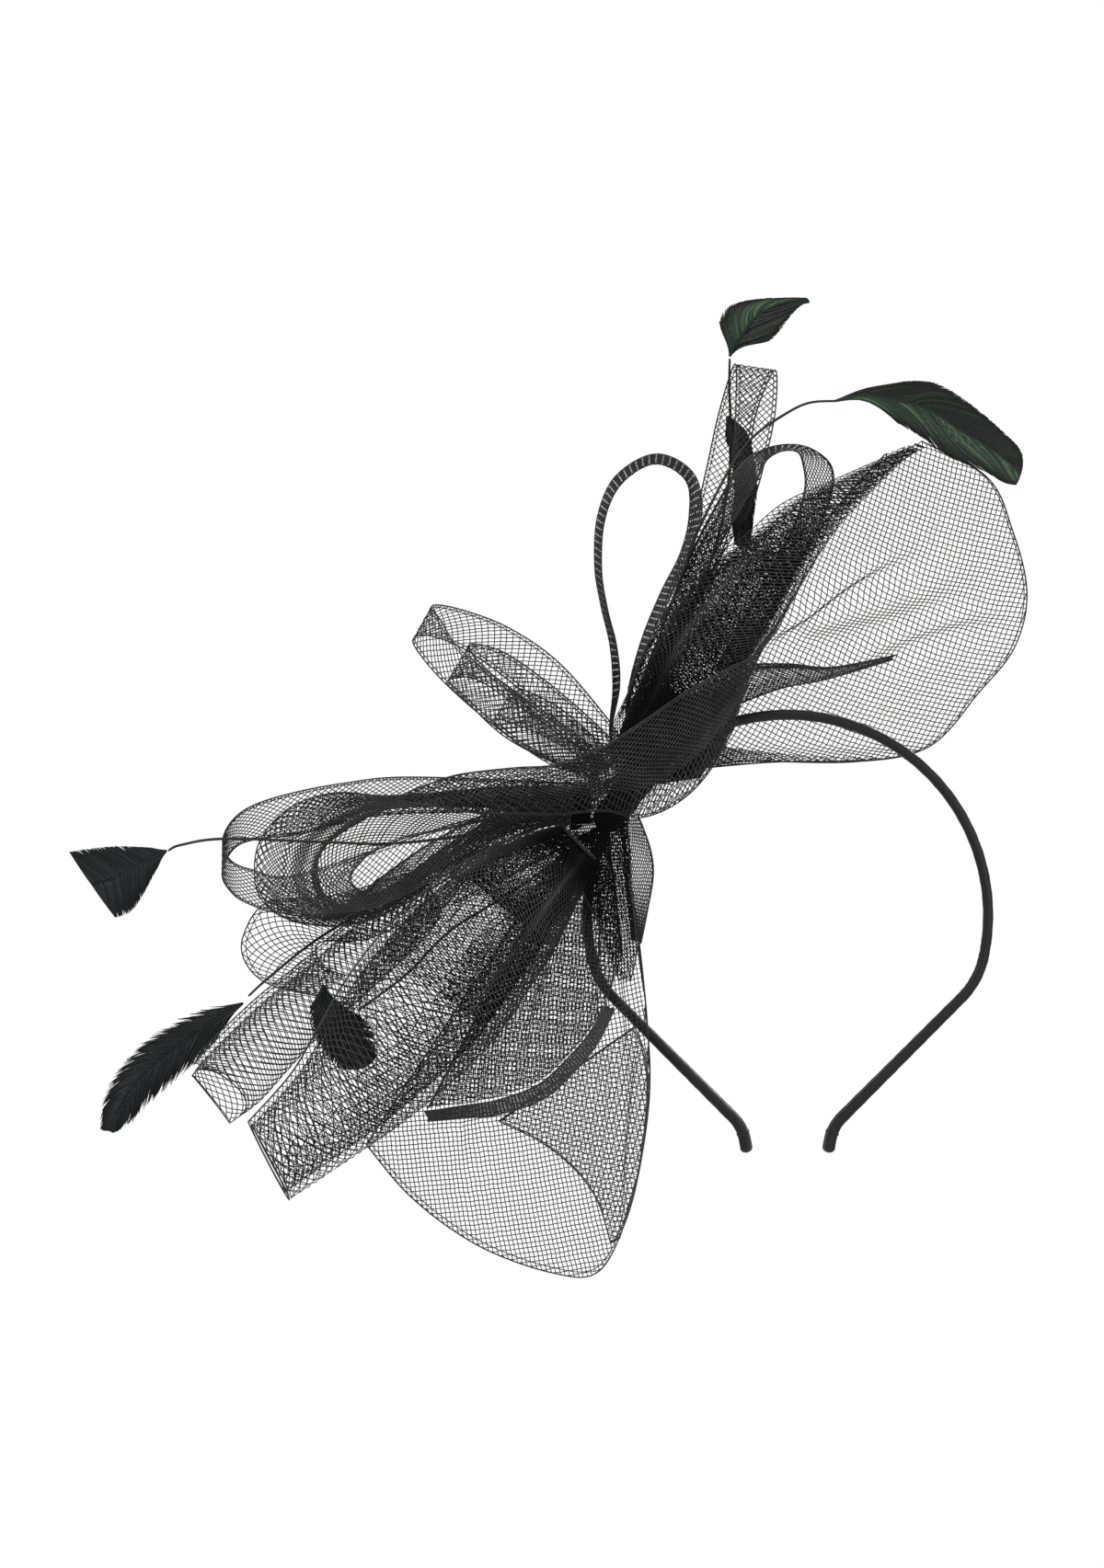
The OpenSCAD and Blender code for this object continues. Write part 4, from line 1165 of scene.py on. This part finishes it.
# The roll's tail tapers on past the end of its CAD solid.
UPPER_ROLL.append([42, 153.5, 45, 152.5, 2, 1])
crin("upper_roll", roll(UPPER_ROLL, 3, 2.1, 0.35), UPPER_ROLL, edges="A01", woven=False, inner=upper_roll_painted_shade,
     gather=((0, 3.6), (2, 1.7), (4, 1.1), (5.5, 0.78), (7, 0.5), (8, 0.55), (9, 0.85), (10, 1.2)),
     crowds=[(0, 0.06, 8, 0.10, 0.8, 0.05), (0, 0.18, 9, 0.24, 0.85, 0.045), (0, 0.52, 9, 0.64, 0.7, 0.05)])
crin("twist_wrap", ribbon(TWIST_WRAP, 0.4, 2, 0.7), TWIST_WRAP, edges="AB", lining=1.9,
     gather=((0, 1.0), (1, 0.6), (2, 0.65), (3.5, 1.15), (5, 1.15), (6, 1.1), (9, 1.15)),
     spread=((0, 0), (0.5, 0.45), (0.85, 0.7), (1, 1)))

# The left inner loop is wider at its bend than its CAD solid.
CLOSER = [[r[0] - 4 * (r[0] < -130), *r[1:]] for r in LEFT_LOOP_INNER]
LOOPS = {  # rows, gather, lining
    "upper_loop_outer": (run_on(UPPER_LOOP_OUTER, (-55, 8, 54), (-60, -14, 47)), 1.0, 0),
    "upper_loop_middle": (run_on(UPPER_LOOP_MIDDLE, (-55, 6, 50), (-60, -11, 46)), 1.15, 0),
    "upper_loop_inner": (run_on(UPPER_LOOP_INNER, (-57, -6, 48), (-60, -9, 44)), 1.05, 0),
    "slim_loop": (run_on(SLIM_LOOP, (-54, 8, 44), (-52, 9, 54), 9), 2.1, 1),
    "tall_loop": (run_on(TALL_LOOP, (-51, 10, 64), (-48, 8, 74), 8), 1.15, 0),
    "arch_loop": (run_on(ARCH_LOOP, (-47, 8, 70), (-20, 8, 80)), 3.0, 0),
    "left_loop_outer": (run_on(LEFT_LOOP_OUTER, (-66, 6, 40), (-66, -15, 32)), 1.7, 0),
    "left_loop_middle": (run_on(LEFT_LOOP_MIDDLE, (-64, 3, 38), (-64, -13, 34)), 2.3, 1.2),
    "left_loop_inner": (run_on(CLOSER, (-64, -3, 36), (-64, -10, 33)), 2.3, 1),
    "lower_left_loop": (run_on(LOWER_LEFT_LOOP, (-68, 8, 28)), 1.0, 0),
}
for name, (rows, gather, lining) in LOOPS.items():
    bias = ((0, 0), (0.3, 0.45), (1, 1)) if name == "left_loop_middle" else ((0, 0), (1, 1))
    crin(name, ribbon(rows), rows, gather=gather, spread=bias, lining=lining)

crin("small_roll", roll(SMALL_ROLL, ROLL_FROM, SMALL_TURNS, 0.3), SMALL_ROLL, gather=0.8, edges="A01",
     trim=open_mouth)
crin("big_roll", roll(BIG_ROLL, ROLL_FROM, 1.7, 0.3), BIG_ROLL, edges="A01", woven=False, inner=big_roll_painted_shade,
     gather=((0, 4.5), (1, 2.4), (2, 1.3), (4, 0.68), (6, 0.6), (8, 0.56)),
     crowds=[(0, 0.16, 8, 0.17, 0.75, 0.035), (0, 0.02, 8, 0.05, 0.5, 0.04), (0, 0.6, 8, 0.63, 0.6, 0.04)])
panel("petal_back", ribbon(PETAL_BACK, 0.6), PETAL_BACK, (52,), (14, -10), edges="B01",
      root=(-60, 34, 0.75, 30),
      folds=[((-60, 24), (-52, -70), 2, 0.5, 2.5, 1.5), ((-64, 22), (-110, -90), -4, 0.35, 5, 2)])
panel("petal_front", ribbon(PETAL_FRONT, 0.5), PETAL_FRONT, (40, 25), (10, -12), edges="A01",
      root=(-62, 32, 0.75, 30),
      folds=[((-62, 18), (-63, -34), 1, 0.8, 2.2, 1.5), ((-64, 22), (-88, -52), -2, 0.4, 4, 1.5)])
crin("petal_hem", ribbon(PETAL_HEM, 0.2), PETAL_HEM, gather=6, edges="AB")
panel("petal_fold", ribbon(PETAL_FOLD, 0.4), PETAL_FOLD, (30,), (12, 12), edges="AB01",
      folds=[((-47, -30), (-54, -110), -2, 0.8, 3, 0)])
crin("side_petal", ribbon(SIDE_PETAL, 0.3), SIDE_PETAL, gather=4, edges="AB")
# The tuck starts higher up under the wrap than its CAD solid.
TUCK = [[-69, -17, 44, -48, -17, 45]] + KNOT_TUCK
# Painted shade over all of the tuck's crin, which lies under the wrap.
crin("knot_tuck", ribbon(TUCK, 0.4), TUCK, edges="AB", inner=1.0,
     gather=((0, 4), (2, 4), (3, 3.2), (5, 2.2), (6, 2)))

feather("top_feather_vane", TOP_VANE, "feather_green", 260, 2.4, 0.03, dark=1)
feather("right_feather_vane", RIGHT_VANE, "feather_green", 360, 2.2, dark=-1)
feather("inner_feather_vane", INNER_VANE, "feather_black", 130, 1.0)
feather("left_feather_vane", LEFT_VANE, "feather_black", 180, 0.8)
feather("lower_feather_vane", LOWER_VANE, "feather_black", 260, 1.6, 0.15, 0.5, 0.15)
feather("leaf_feather_vane", LEAF_VANE, "feather_black", 130, 1.0)
QUILLS = {"top": TOP_QUILL, "right": RIGHT_QUILL, "left": LEFT_QUILL, "lower": LOWER_QUILL, "leaf": LEAF_QUILL}
for word, route in QUILLS.items():
    quill(f"{word}_feather_quill", route)

for node in ("steel_crown", "steel_left_leg", "steel_right_leg"):
    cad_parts[node].data.materials.clear()
    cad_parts[node].data.materials.append(steel_material(node))
